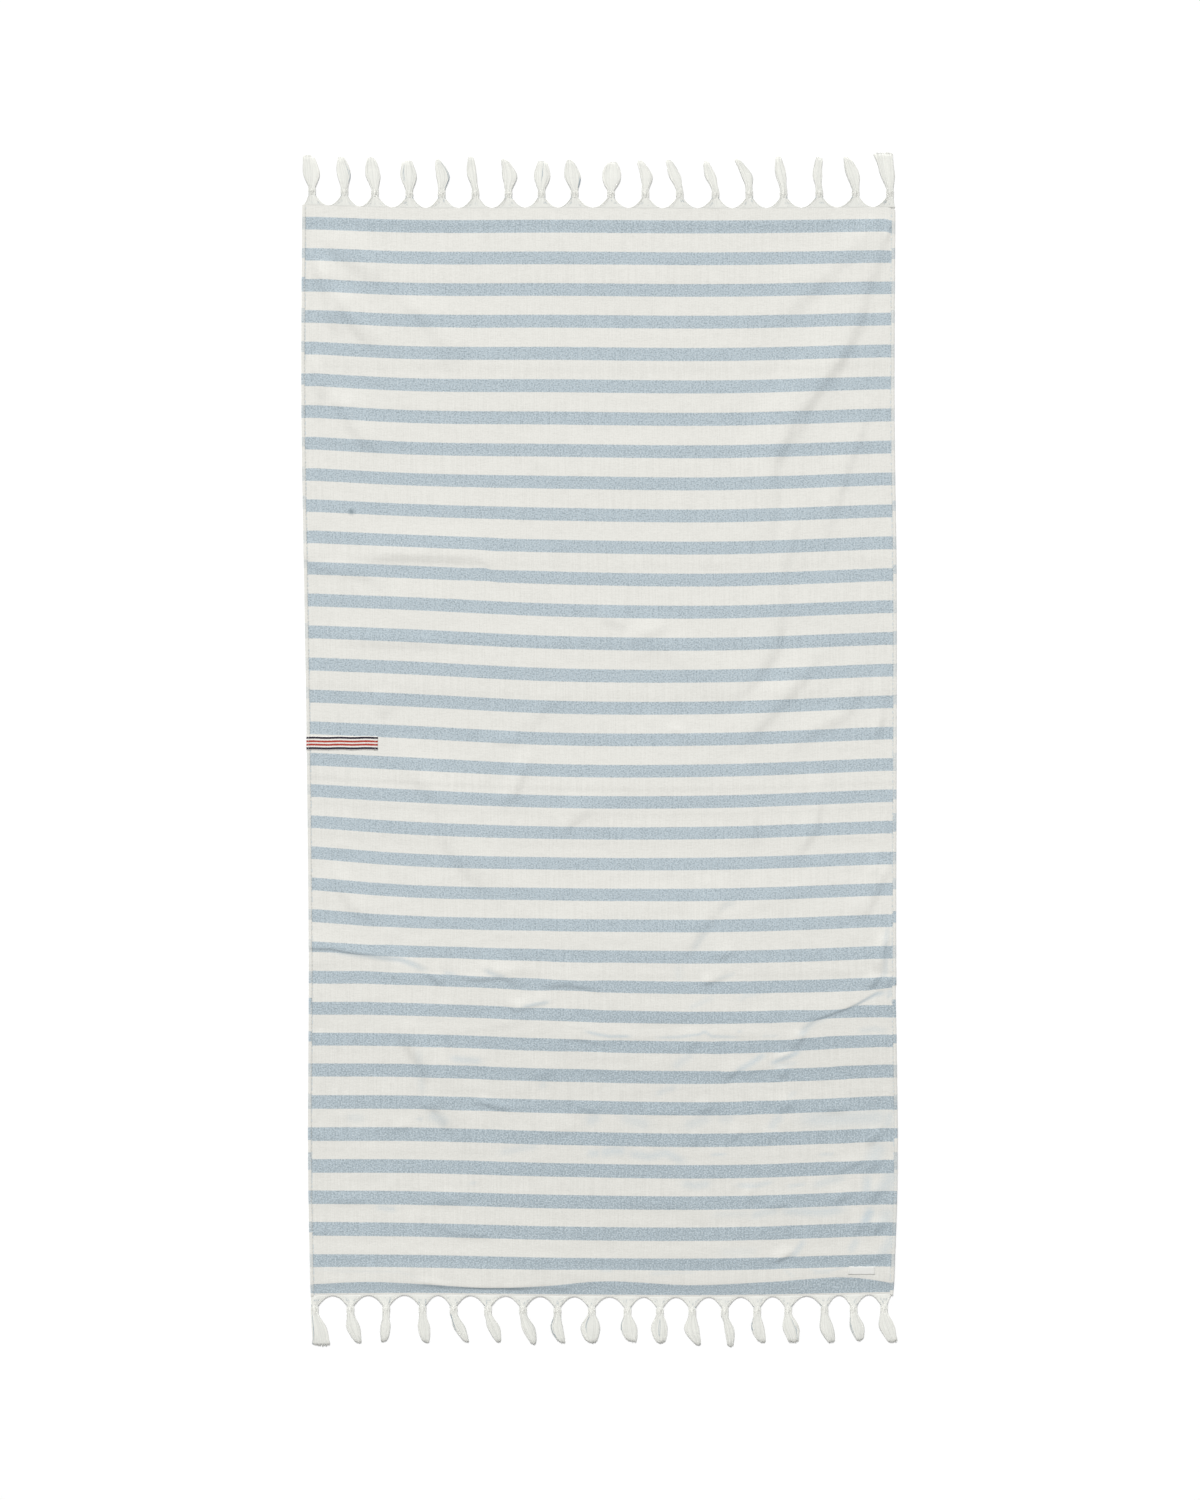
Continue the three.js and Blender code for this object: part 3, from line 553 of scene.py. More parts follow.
def closedSheet(name, top, bottom, uv, step=1, marks=None):
    # a thin closed sheet from two grids of points, its edges joined all round; the grid below may
    # have every second row and column only
    rowCount, columnCount = top.shape[:2]
    count = rowCount * columnCount
    at = np.arange(count).reshape(rowCount, columnCount)
    below = bottom[::step, ::step]
    under = count + np.arange(below.shape[0] * below.shape[1]).reshape(below.shape[:2])
    faces = gridFaces(rowCount, columnCount).tolist()
    faces += gridFaces(below.shape[0], below.shape[1], count, flip=True).tolist()
    smoothCount = len(faces)
    rim = np.concatenate([at[0, :-1], at[:-1, -1], at[-1, :0:-1], at[:0:-1, 0]])
    rimUnder = np.concatenate([under[0, :-1], under[:-1, -1], under[-1, :0:-1], under[:0:-1, 0]])
    for k, low in enumerate(rimUnder):
        above = [int(rim[(k * step + i) % len(rim)]) for i in range(step + 1)]
        faces.append([above[0], int(low), int(rimUnder[(k + 1) % len(rimUnder)])] + above[:0:-1])
    made = addMesh(name, np.concatenate([top.reshape(-1, 3), below.reshape(-1, 3)]), faces)
    made.data.polygons.foreach_set("use_smooth", np.arange(len(faces)) < smoothCount)
    layer = made.data.uv_layers.new(name="flatCloth")
    loops = np.empty(len(made.data.loops), int)
    made.data.loops.foreach_get("vertex_index", loops)
    spread = np.concatenate([uv.reshape(-1, 2), uv[::step, ::step].reshape(-1, 2)])[loops]
    layer.data.foreach_set("uv", (spread * mm).ravel())
    for mark, grid in (marks or {}).items():
        addMark(made, mark, np.concatenate([grid.ravel(), grid[::step, ::step].ravel()]))
    return made


def makeCloth():
    top = np.stack([laid["x"], laid["y"], laid["top"]], axis=-1)
    # the underside is coarser, so it takes the lowest height around each of its points
    padded = np.pad(laid["lift"], 1, mode="edge")
    high, wide = laid["lift"].shape
    lowest = np.min([padded[i:i + high, j:j + wide] for i in range(3) for j in range(3)], axis=0)
    bottom = np.stack([laid["x"], laid["y"], lowest], axis=-1)
    flat = np.stack([laid["flatU"], laid["flatV"]], axis=-1)
    marks = {mark: laid[mark] for mark in ("paintedCreaseShade", "shadeBands", "paintedShadeTint")}
    return closedSheet("towelCloth", top, bottom, flat, step=2, marks=marks)


towelCloth = makeCloth()
print("cloth modelled:", len(towelCloth.data.polygons), "faces")

# The tassels. Each row says where the knot lies across the towel, how far the tail's middle and tip
# stray from there, the tail's widths at its middle and tip, and how far it reaches from the cloth.
tassels = {
    "top": [
        (-435, -1, -6, 25, 17, 77), (-386, -1, -6, 21, 10, 76), (-340, -3, -6, 22, 12, 76),
        (-288, -1, -4, 24, 15, 74), (-239, 2, -7, 20, 8, 75), (-188, -5, -7, 14, 9, 79),
        (-138, 2, -8, 22, 8, 76), (-88, 1, 1, 24, 14, 73), (-38, -3, -8, 24, 10, 74),
        (17, 1, 2, 29, 14, 72), (69, 2, -9, 18, 10, 73), (121, -7, -18, 17, 9, 75),
        (175, -7, -16, 16, 8, 74), (226, -3, -20, 16, 8, 76), (278, -4, -8, 16, 8, 80),
        (332, -3, 1, 14, 9, 79), (387, -4, -15, 20, 9, 79), (439, -4, -11, 22, 29, 84),
    ],
    "bottom": [
        (-431, 7, 10, 22, 28, 78), (-377, 4, 13, 20, 9, 74), (-323, -1, -3, 15, 9, 73),
        (-268, 2, 6, 18, 10, 74), (-221, 8, 21, 17, 8, 72), (-169, 8, 17, 18, 8, 72),
        (-116, 8, 17, 19, 8, 74), (-64, -1, 9, 19, 9, 73), (-12, -2, 0, 29, 14, 72),
        (42, 2, 8, 25, 12, 71), (91, -1, 2, 25, 12, 71), (140, -1, 10, 22, 9, 74),
        (189, 7, 9, 14, 9, 77), (238, 1, 9, 20, 10, 71), (285, 4, 9, 24, 14, 72),
        (340, 3, 12, 21, 10, 74), (384, 5, 10, 21, 9, 72), (430, 4, 14, 23, 14, 74),
    ],
    # tassels with painted shade in blue-grey down a few yarns, and how far across it lies, from -1 at the
    # left to 1
    "shadedYarns": {
        "top": {2: 0.9, 4: -0.7, 5: 0.95, 8: 0, 9: 0.9},
        "bottom": {
            1: -0.8, 5: -0.95, 8: -0.8, 9: -0.5, 10: -0.95, 11: 0.1, 14: -0.95, 15: 0.5, 17: -0.95,
        },
    },
    "yarns": 36,
    "yarnRadius": 0.85,
    "sides": 3,
    "overlap": 2,  # how far the yarns run back over the cloth's end
    "fan": 15,  # from the cloth to the knot
    "valleyGap": 0.6,  # between neighbouring fans at the cloth's edge
    "neckWide": 11,
    "knotLength": 13,
    "knotWide": 12,
    "knotHigh": 3.1,
    "knotTurns": 8,
    "knotYarn": 1.0,
    # the bundle's height, from its start on the cloth to the tip
    "heights": [0.9, 1.3, 1.5, 1.9, 2.3, 2.4, 1.9, 1.4, 1.0],
    "coreSides": 16,
}
knotEnd = tassels["fan"] + tassels["knotLength"]
acrossEnd = np.linspace(-450, 450, 91)
endLine = {side: bow(acrossEnd, np.full(len(acrossEnd), side * halfLength)) for side in (1, -1)}


def endBow(x, side):
    # how far the cloth's top or bottom end is bowed towards +y
    return np.interp(x, acrossEnd, endLine[side])


def fullSine(angle, power):
    # a sine with broad shoulders, for the outline of a flat bundle
    return np.sign(np.sin(angle)) * np.abs(np.sin(angle)) ** power


def ringAround(sides, angleFrom, first, second):
    # the directions from a path to the corners of a round section, for each point of the path
    angles = (2 * np.pi * np.arange(sides) / sides + angleFrom)[None, :, None]
    return np.cos(angles) * first[:, None] + np.sin(angles) * second[:, None]


def tubes(paths, radii, sides):
    # round yarns along paths that lie about level: points, a ring at a time, and faces
    points, faces = [], []
    for path, radius in zip(paths, radii):
        path = np.asarray(path, float)
        ahead = np.gradient(path, axis=0)
        ahead /= np.linalg.norm(ahead, axis=1)[:, None]
        upright = np.array([0, 0, 1.0]) - ahead * ahead[:, 2:3]
        steep = np.linalg.norm(upright, axis=1) < 0.05
        upright[steep] = [1, 0, 0]
        upright /= np.linalg.norm(upright, axis=1)[:, None]
        ring = ringAround(sides, np.pi / 2, np.cross(ahead, upright), upright)  # a corner on top
        radius = np.broadcast_to(radius, len(path))[:, None, None]
        first = len(points)
        points.extend((path[:, None] + ring * radius).reshape(-1, 3))
        last = first + (len(path) - 1) * sides
        for k in range(len(path) - 1):
            for s in range(sides):
                a, b = first + k * sides + s, first + k * sides + (s + 1) % sides
                faces.append((a, b, b + sides, a + sides))
        faces.append(tuple(range(first + sides - 1, first - 1, -1)))
        faces.append(tuple(range(last, last + sides)))
    return np.array(points), faces


def loopTube(centre, wide, high, tilt, radius):
    # one wrap of the knot: a closed ring round the bundle, tilted along it
    sides, steps = 5, 12
    turn = 2 * np.pi * np.arange(steps) / steps
    ring = np.stack([wide * np.cos(turn), tilt * np.cos(turn), high * fullSine(turn, 0.7)], axis=-1)
    ahead = np.roll(ring, -1, axis=0) - np.roll(ring, 1, axis=0)
    ahead /= np.linalg.norm(ahead, axis=1)[:, None]
    outward = ring / np.linalg.norm(ring, axis=1)[:, None]
    around = ringAround(sides, 0, outward, np.cross(ahead, outward))
    points = (centre + ring)[:, None] + around * radius
    faces = []
    for k in range(steps):
        for s in range(sides):
            a, b = k * sides + s, k * sides + (s + 1) % sides
            c, d = (a + sides) % (steps * sides), (b + sides) % (steps * sides)
            faces.append((a, c, d, b))
    return points.reshape(-1, 3), faces


def tasselShape(row, valleys, out):
    # the bundle's middle, half width, and the heights of its underside and top, along the tassel
    knot, middle, tip, wide, end, reach = row
    t = tassels
    neck = t["neckWide"]
    foot = (valleys[0] + valleys[1]) / 2
    footWide = valleys[1] - valleys[0] - t["valleyGap"]
    fan = 1 - np.sqrt(np.clip(out / t["fan"], 0, 1))  # so that the gaps between fans are round arches
    tail = np.clip((out - knotEnd) / (reach - knotEnd), 0, 1)
    tailWide = curveThrough(
        tail, [0, 0.14, 0.4, 0.8, 0.94, 1],
        [neck, max(0.7 * wide, neck - 1), wide, 0.4 * wide + 0.6 * end, end, 0.85 * end])
    gripped = hump((out - t["fan"] - t["knotLength"] / 2) / (0.75 * t["knotLength"]))
    width = np.where(out < knotEnd, neck + (footWide - neck) * fan, tailWide) - 1.6 * gripped
    centre = knot + curveThrough(tail, [0, 0.42, 1], [0, middle, tip]) + (foot - knot) * fan
    stations = [-t["overlap"], 0, 5, t["fan"], knotEnd, knotEnd + 10, reach - 14, reach - 4, reach]
    high = curveThrough(out, stations, t["heights"])
    low = np.interp(out, [-t["overlap"], 4], [0.3, 0.1])
    return centre, width / 2, low, high


def yarnTones(paintedShade, side, turns, outs, tails):
    # each yarn's tone at each of its points: from 0, palest, to 0.6, and 1 where blue-grey painted shade
    # lies
    count, length = outs.shape
    tones = np.repeat(draws.random(count) ** 1.6 * 0.6, length).reshape(count, length)
    onTop = np.cos(turns[:, :1]) + 9 * (np.sin(turns[:, :1]) < 0)
    if paintedShade is not None:
        for k in np.argsort(np.abs(onTop[:, 0] - paintedShade))[:2]:
            start = draws.uniform(0, 0.35)
            tones[k, (tails[k] > start) & (tails[k] < start + draws.uniform(0.35, 0.7))] = 1
    # painted shadow where the knot grips the outermost yarn
    for edge in (-1, 1):  # a dark fleck where the knot grips the outermost yarn
        if draws.random() < 0.7:
            k = np.argmin(np.abs(onTop[:, 0] - edge))
            tones[k, np.argmin(np.abs(outs[k] - tassels["fan"]))] = 1
    # painted shade of small gaps between the fan's yarns
    flecks = 3 if side > 0 else 5  # blue-grey, in the fan
    for k in draws.choice(np.arange(3, count // 2 - 4), flecks, replace=False):
        place = draws.uniform(1.5, 9)
        tones[k:k + 2, np.argmin(np.abs(outs[k] - place))] = 1
    return tones


def fanStations():
    # how far out the points of a yarn lie, from the cloth up to the knot
    onFan = tassels["fan"] * np.linspace(0, 1, 6, endpoint=False) ** 2
    return np.concatenate([[-tassels["overlap"]], onFan])


def makeYarns(row, valleys, side, paintedShade):
    # yarns side by side round a flat oval, evenly along its outline
    t = tassels
    count, reach = t["yarns"], row[-1]
    spin = np.linspace(0, 2 * np.pi, 721)
    steps = np.hypot(np.diff(3 * np.cos(spin)), np.diff(np.sin(spin)))
    along = np.concatenate([[0], np.cumsum(steps)]) / steps.sum()
    around = np.interp((np.arange(count) + 0.5) / count, along, spin)
    across = np.cos(around)  # -1 to 1 across the tail, whose end is rounded and a little oblique
    slant = draws.uniform(-2.5, 2.5)
    ends = reach - 0.3 - 2.5 * across**2 - slant * across - abs(slant) - 2.5 * draws.random(count) ** 2
    twist = draws.uniform(-0.5, 0.5)
    boxy = fullSine(around, 0.5)
    paths, turns, outs, tails = [], [], [], []
    for k in range(count):
        out = np.concatenate([fanStations(), np.linspace(t["fan"], ends[k] - 1.5, 11), [ends[k]]])
        centre, half, low, high = tasselShape(row, valleys, out)
        tail = np.clip((out - knotEnd) / (reach - knotEnd), 0, 1)
        turn = around[k] + twist * tail
        stray = 0.45 * np.sin(out * 0.17 + k * 1.9) * smoothStep(tail * 3)
        stray = stray + 1.2 * (draws.random() - 0.5) * tail**3
        inset = t["yarnRadius"] * np.where(out < t["fan"], 0.6, 0.9)
        x = centre + np.maximum(half - inset, 0.3) * np.cos(turn) + stray
        z = (low + high) / 2 + np.maximum((high - low) / 2 - inset, 0) * boxy[k]
        y = side * (halfLength + out) + endBow(x, side)
        paths.append(np.stack([x, y, np.maximum(z, t["yarnRadius"] * 0.4)], axis=-1))
        turns.append(turn)
        outs.append(out)
        tails.append(tail)
    thinning = np.concatenate([[0.3, 0.5], np.linspace(0.6, 0.9, 5), np.ones(10), [0.85, 0.4]])
    radii = [t["yarnRadius"] * (0.85 + 0.3 * draws.random()) * thinning for k in range(count)]
    points, faces = tubes(paths, radii, t["sides"])
    tones = yarnTones(paintedShade, side, np.array(turns), np.array(outs), np.array(tails))
    return points, faces, np.repeat(tones.ravel(), t["sides"])


def makeCore(row, valleys, side):
    # the bundle's inside, which closes the gaps between the yarns
    t = tassels
    sides, reach = t["coreSides"], row[-1]
    out = np.concatenate([fanStations(), np.linspace(t["fan"], reach - 7, 11), [reach - 4.5]])
    centre, half, low, high = tasselShape(row, valleys, out)
    half[-1] *= 0.8
    inside = np.interp(out, [0, 8, t["fan"], knotEnd, reach], [0.05, 0.08, 0.15, 0.3, 0.45])
    turn = np.arange(sides) / sides * 2 * np.pi
    x = centre[:, None] + (half - inside)[:, None] * np.cos(turn)
    z = ((low + high) / 2)[:, None]
    z = z + np.maximum((high - low) / 2 - inside, 0.2)[:, None] * fullSine(turn, 0.5)
    y = side * (halfLength + out)[:, None] + endBow(x, side)
    rings = np.stack([x, y, z], axis=-1)
    if side < 0:
        rings = rings[:, ::-1]
    faces = []
    for r in range(len(out) - 1):
        for c in range(sides):
            a, b = r * sides + c, r * sides + (c + 1) % sides
            faces.append((a, a + sides, b + sides, b))
    count = len(out) * sides
    faces.append(tuple(range(sides)))
    faces.append(tuple(range(count - 1, count - sides - 1, -1)))
    return rings.reshape(-1, 3), faces, np.full(count, 0.2)


def makeKnot(knot, side):
    # turns of yarn side by side round the bundle, smaller towards both ends, and one that crosses them
    t = tassels
    middle = side * (halfLength + t["fan"] + t["knotLength"] / 2) + float(endBow(knot, side))
    lean = draws.uniform(0.5, 1.4) * draws.choice([-1, 1])
    places = np.append(np.linspace(-0.5, 0.5, t["knotTurns"]), draws.uniform(-0.2, 0.2))
    parts = []
    for k, place in enumerate(places):
        fromMiddle = abs(place)
        y = middle + place * (t["knotLength"] - 2 * t["knotYarn"])
        z = t["knotHigh"] / 2 + 0.1 - 0.5 * fromMiddle
        wide = t["knotWide"] / 2 - t["knotYarn"] - 0.6 * fromMiddle
        high = t["knotHigh"] / 2 - t["knotYarn"] - 0.7 * fromMiddle
        tilt = -2 * lean if k == t["knotTurns"] else lean
        points, faces = loopTube(np.array([knot, y, z]), wide, high, tilt, t["knotYarn"])
        parts.append((points, faces, np.full(len(points), draws.uniform(0, 0.12))))
    return parts


def makeTassel(name, row, valleys, side, paintedShade):
    parts = [makeYarns(row, valleys, side, paintedShade), makeCore(row, valleys, side), *makeKnot(row[0], side)]
    allFaces, count = [], 0
    for points, faces, tones in parts:
        allFaces += [tuple(i + count for i in face) for face in faces]
        count += len(points)
    made = addMesh(name, np.concatenate([points for points, faces, tones in parts]), allFaces)
    addMark(made, "yarnTone", np.concatenate([tones for points, faces, tones in parts]))
    return made


def makeTassels():
    made = []
    for end, side in (("top", 1), ("bottom", -1)):
        rows = tassels[end]
        left, right = (float(edge) for edge in edges(side * halfLength))
        for number, row in enumerate(rows):
            before = left if number == 0 else (rows[number - 1][0] + row[0]) / 2
            after = right if number == len(rows) - 1 else (rows[number + 1][0] + row[0]) / 2
            name = f"tassel{end.capitalize()}{number + 1:02d}"
            paintedShade = tassels["shadedYarns"][end].get(number + 1)
            piece = makeTassel(name, row, (before, after), side, paintedShade)
            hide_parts(f"tassel_{end}_{number + 1:02d}")
            made.append(piece)
    return made


allTassels = makeTassels()
print("tassels modelled:", len(allTassels), "of", len(allTassels[0].data.polygons), "faces each")


def clothUnder(x, y, offset=0.0):
    # the cloth's top straight under or over (x, y), found by a few corrections
    x, y = np.broadcast_arrays(np.asarray(x, float), np.asarray(y, float))
    fromLeft = x - edges(y)[0]
    row = y - bow(x, y)
    for _ in range(8):
        spot = clothPoint(np.clip(fromLeft, 0, cloth["laidWidth"]), row)
        fromLeft = fromLeft + 0.8 * (x - spot[..., 0])
        row = row + 0.6 * (y - spot[..., 1])
    return np.stack([x, y, spot[..., 2] + offset], axis=-1)


def layStrip(name, shape, columns, rows):
    # a narrow woven strip, straight, on the cloth's top
    share, side = np.meshgrid(np.linspace(0, 1, columns), np.linspace(-0.5, 0.5, rows))
    x = shape["left"] + share * shape["length"]
    y = shape["middle"] + side * shape["width"] + shape["uneven"] * np.sin(share * 17)
    onCloth = clothUnder(x, y)
    fromEnd = np.minimum(share, 1 - share) * shape["length"]
    double = 1 + 0.7 * (1 - smoothStep((fromEnd - shape["turnedEnd"]) / 1.5))  # pressed a little
    fromSide = (0.5 - np.abs(side)) * shape["width"]
    rounded = 0.55 + 0.45 * smoothStep(np.minimum(fromSide, fromEnd) / 0.9)
    under = onCloth[..., 2] + 0.1
    top = np.stack([x, y, under + shape["thickness"] * double * rounded], axis=-1)
    uv = np.stack([share * shape["length"], side * shape["width"]], axis=-1)
    return closedSheet(name, top, np.stack([x, y, under], axis=-1), uv)


tape = {
    "left": -443.5,
    "length": 108,
    "middle": 13.5,
    "width": 21,
    "thickness": 0.5,
    "turnedEnd": 6,  # the raw ends are turned under, so the tape is double there
    "uneven": 0.25,
    "lines": [(2.5, 1.5, "#b03c2c"), (7.9, 1.6, "#1f182d")],  # from the middle, half width, dye
}
smallLabel = {
    "left": 376,
    "length": 40,
    "middle": -784,
    "width": 12,
    "thickness": 0.4,
    "turnedEnd": 4,
    "uneven": 0.2,
}
ribbonTape = layStrip("ribbonTape", tape, 97, 23)
sewnLabel = layStrip("sewnLabel", smallLabel, 49, 15)
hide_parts("ribbon_tab")
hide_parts("label")
print("tape and label modelled")

# Stitches of sewing thread, each a low arch that is thinner where it enters the cloth.
stitches = {
    "length": 3.4, "pitch": 5.4, "fromEdge": 4.6, "fromEnd": 8, "wander": 0.35, "above": 0.12,
    "arch": 0.22, "radius": 0.3, "thinning": [0.45, 0.9, 1, 0.9, 0.45], "sides": 6,
}


def stitchRun(name, starts, ends):
    share = np.linspace(0, 1, len(stitches["thinning"]))
    paths = []
    for start, finish in zip(starts, ends):
        line = start + (finish - start) * share[:, None]
        line[:, 2] += stitches["arch"] * np.sin(np.pi * share)
        paths.append(line)
    radii = [stitches["radius"] * np.array(stitches["thinning"])] * len(paths)
    points, faces = tubes(paths, radii, stitches["sides"])
    return addMesh(name, points, faces)


def hemStitches(name, fromLeft, wander):
    clear = stitches["fromEnd"]
    rows = np.arange(-halfLength + clear, halfLength - clear, stitches["pitch"])
    offset = fromLeft + wander * stitches["wander"] * np.sin(rows * 0.05)
    starts = clothPoint(offset, rows, stitches["above"])
    ends = clothPoint(offset + 0.2, rows + stitches["length"], stitches["above"])
    return stitchRun(name, starts, ends)


def stripStitches(name, shape, fromEnds, pitch):
    # a row of stitches across each end of a strip
    across = np.arange(-shape["width"] / 2 + 1.2, shape["width"] / 2 - 1.8, pitch)
    starts, ends = [], []
    for fromEnd in fromEnds:
        y = shape["middle"] + across
        offset = 0.15 + 1.75 * shape["thickness"]
        starts.extend(clothUnder(shape["left"] + fromEnd, y, offset))
        ends.extend(clothUnder(shape["left"] + fromEnd + 0.2, y + 0.65 * pitch, offset))
    return stitchRun(name, starts, ends)


allStitches = [
    hemStitches("hemStitchesLeft", stitches["fromEdge"], 1),
    hemStitches("hemStitchesRight", cloth["laidWidth"] - stitches["fromEdge"], -1),
    stripStitches("tapeStitches", tape, (3.2, tape["length"] - 4.2), 2.3),
    stripStitches("labelStitches", smallLabel, (1.6, smallLabel["length"] - 1.6), 2.2),
]
print("stitches modelled:", sum(len(p.data.polygons) for p in allStitches), "faces")


def colour(hexValue):
    # an sRGB hex colour as the linear values that a socket takes
    parts = [int(hexValue[i:i + 2], 16) / 255 for i in (1, 3, 5)]
    return tuple(p / 12.92 if p <= 0.04045 else ((p + 0.055) / 1.055) ** 2.4 for p in parts) + (1,)


def addNode(tree, kind, inputs=(), **settings):
    # one node, its settings, and its inputs in order or by name: each a constant, or what is linked to it
    made = tree.nodes.new("ShaderNode" + kind)
    for name, value in settings.items():
        setattr(made, name, value)
    live = [socket for socket in made.inputs if socket.enabled]
    if isinstance(inputs, dict):
        named = {socket.name: socket for socket in reversed(live)}
        pairs = [(named[name], value) for name, value in inputs.items()]
    else:
        pairs = list(zip(live, inputs))
    for socket, value in pairs:
        if isinstance(value, bpy.types.Node):
            value = next(out for out in value.outputs if out.enabled)
        if isinstance(value, bpy.types.NodeSocket):
            tree.links.new(value, socket)
        else:
            socket.default_value = value
    return made


def addGrain(add, vector, size, detail):
    # noise that varies over these lengths in millimetres, across, along and, where it matters, upwards
    scale = [1 / (part * mm) for part in size] + [1] * (3 - len(size))
    place = add("Mapping", {"Vector": vector, "Scale": scale})
    return add("TexNoise", {"Vector": place, "Scale": 1.0, "Detail": detail})


def endMaterial(add, base, grain, relief, rough, between=(0.3, 0.7), sheen=(0, 0.5)):
    # the surface of every material: its grain also gives a fine relief and an uneven roughness
    strength, depth = relief
    bumps = add("Bump", {"Height": grain, "Strength": strength, "Distance": depth * mm})
    uneven = add("MapRange", [grain, *between, *rough])
    shader = add("BsdfPrincipled", {
        "Base Color": base, "Roughness": uneven, "Normal": bumps,
        "Sheen Weight": sheen[0], "Sheen Roughness": sheen[1],
    })
    add("OutputMaterial", [shader])


def newMaterial(name):
    # an empty material, and addNode for its tree
    made = bpy.data.materials.new(name)
    made.use_nodes = True
    made.node_tree.nodes.clear()
    return made, partial(addNode, made.node_tree)


# Flat-woven cotton, white warp with white and blue weft: matt, softly mottled where the white warp
# crosses the blue, with faint streaks along the warp, and painted shade in bands across, along the
# creases and towards the bottom end. Each grain is how long it is across and along the towel in
# millimetres, and its detail. The threads are about 0.6 mm apart, too fine to show, so the weave's
# grain is drawn 1.5 to 3 mm long.
stripes = {
    "blueShare": (0.402, 0.43),  # of the pitch, in the upper half and towards the bottom end
    "white": "#ebeae4",
    "whiteShade": "#d6d5cf",
    "blue": "#bfccd3",
    "blueShade": "#99a6ad",
    "slub": "#d9e0e2",
    # the blue that the painted shade along the folds turns to
    "paintedShadeBlue": "#8797a0",
    # the pale blue-grey of the painted shade on the white
    "mark": "#c8d2d6",
    "grains": {
        "slub": (2.8, 1.7, 3), "speck": (2.4, 2.2, 2), "streak": (1.8, 70, 3), "cloud": (34, 13, 3),
        "slide": (4000, 60, 0), "fray": (2.2, 9, 2), "warp": (1.5, 7, 1), "weft": (7, 1.5, 1),
        "dash": (9, 4.5, 1), "ply": (11, 2.4, 2), "hemTone": (4000, 70, 0),
    },
    # the least of their blue that the hems show, and where, in metres down the flat cloth: on the left
    # from its middle outwards, and on the right from its upper half downwards
    "leftHem": {"least": 0.35, "middle": 0.77, "until": 0.3, "fullFrom": 0.42},
    "rightHem": {"least": 0.65, "until": 0.75, "fullFrom": 1.0},
    "spotAt": (74, 471),
    "spotSize": 8,
    "spot": "#7e8d94",
}


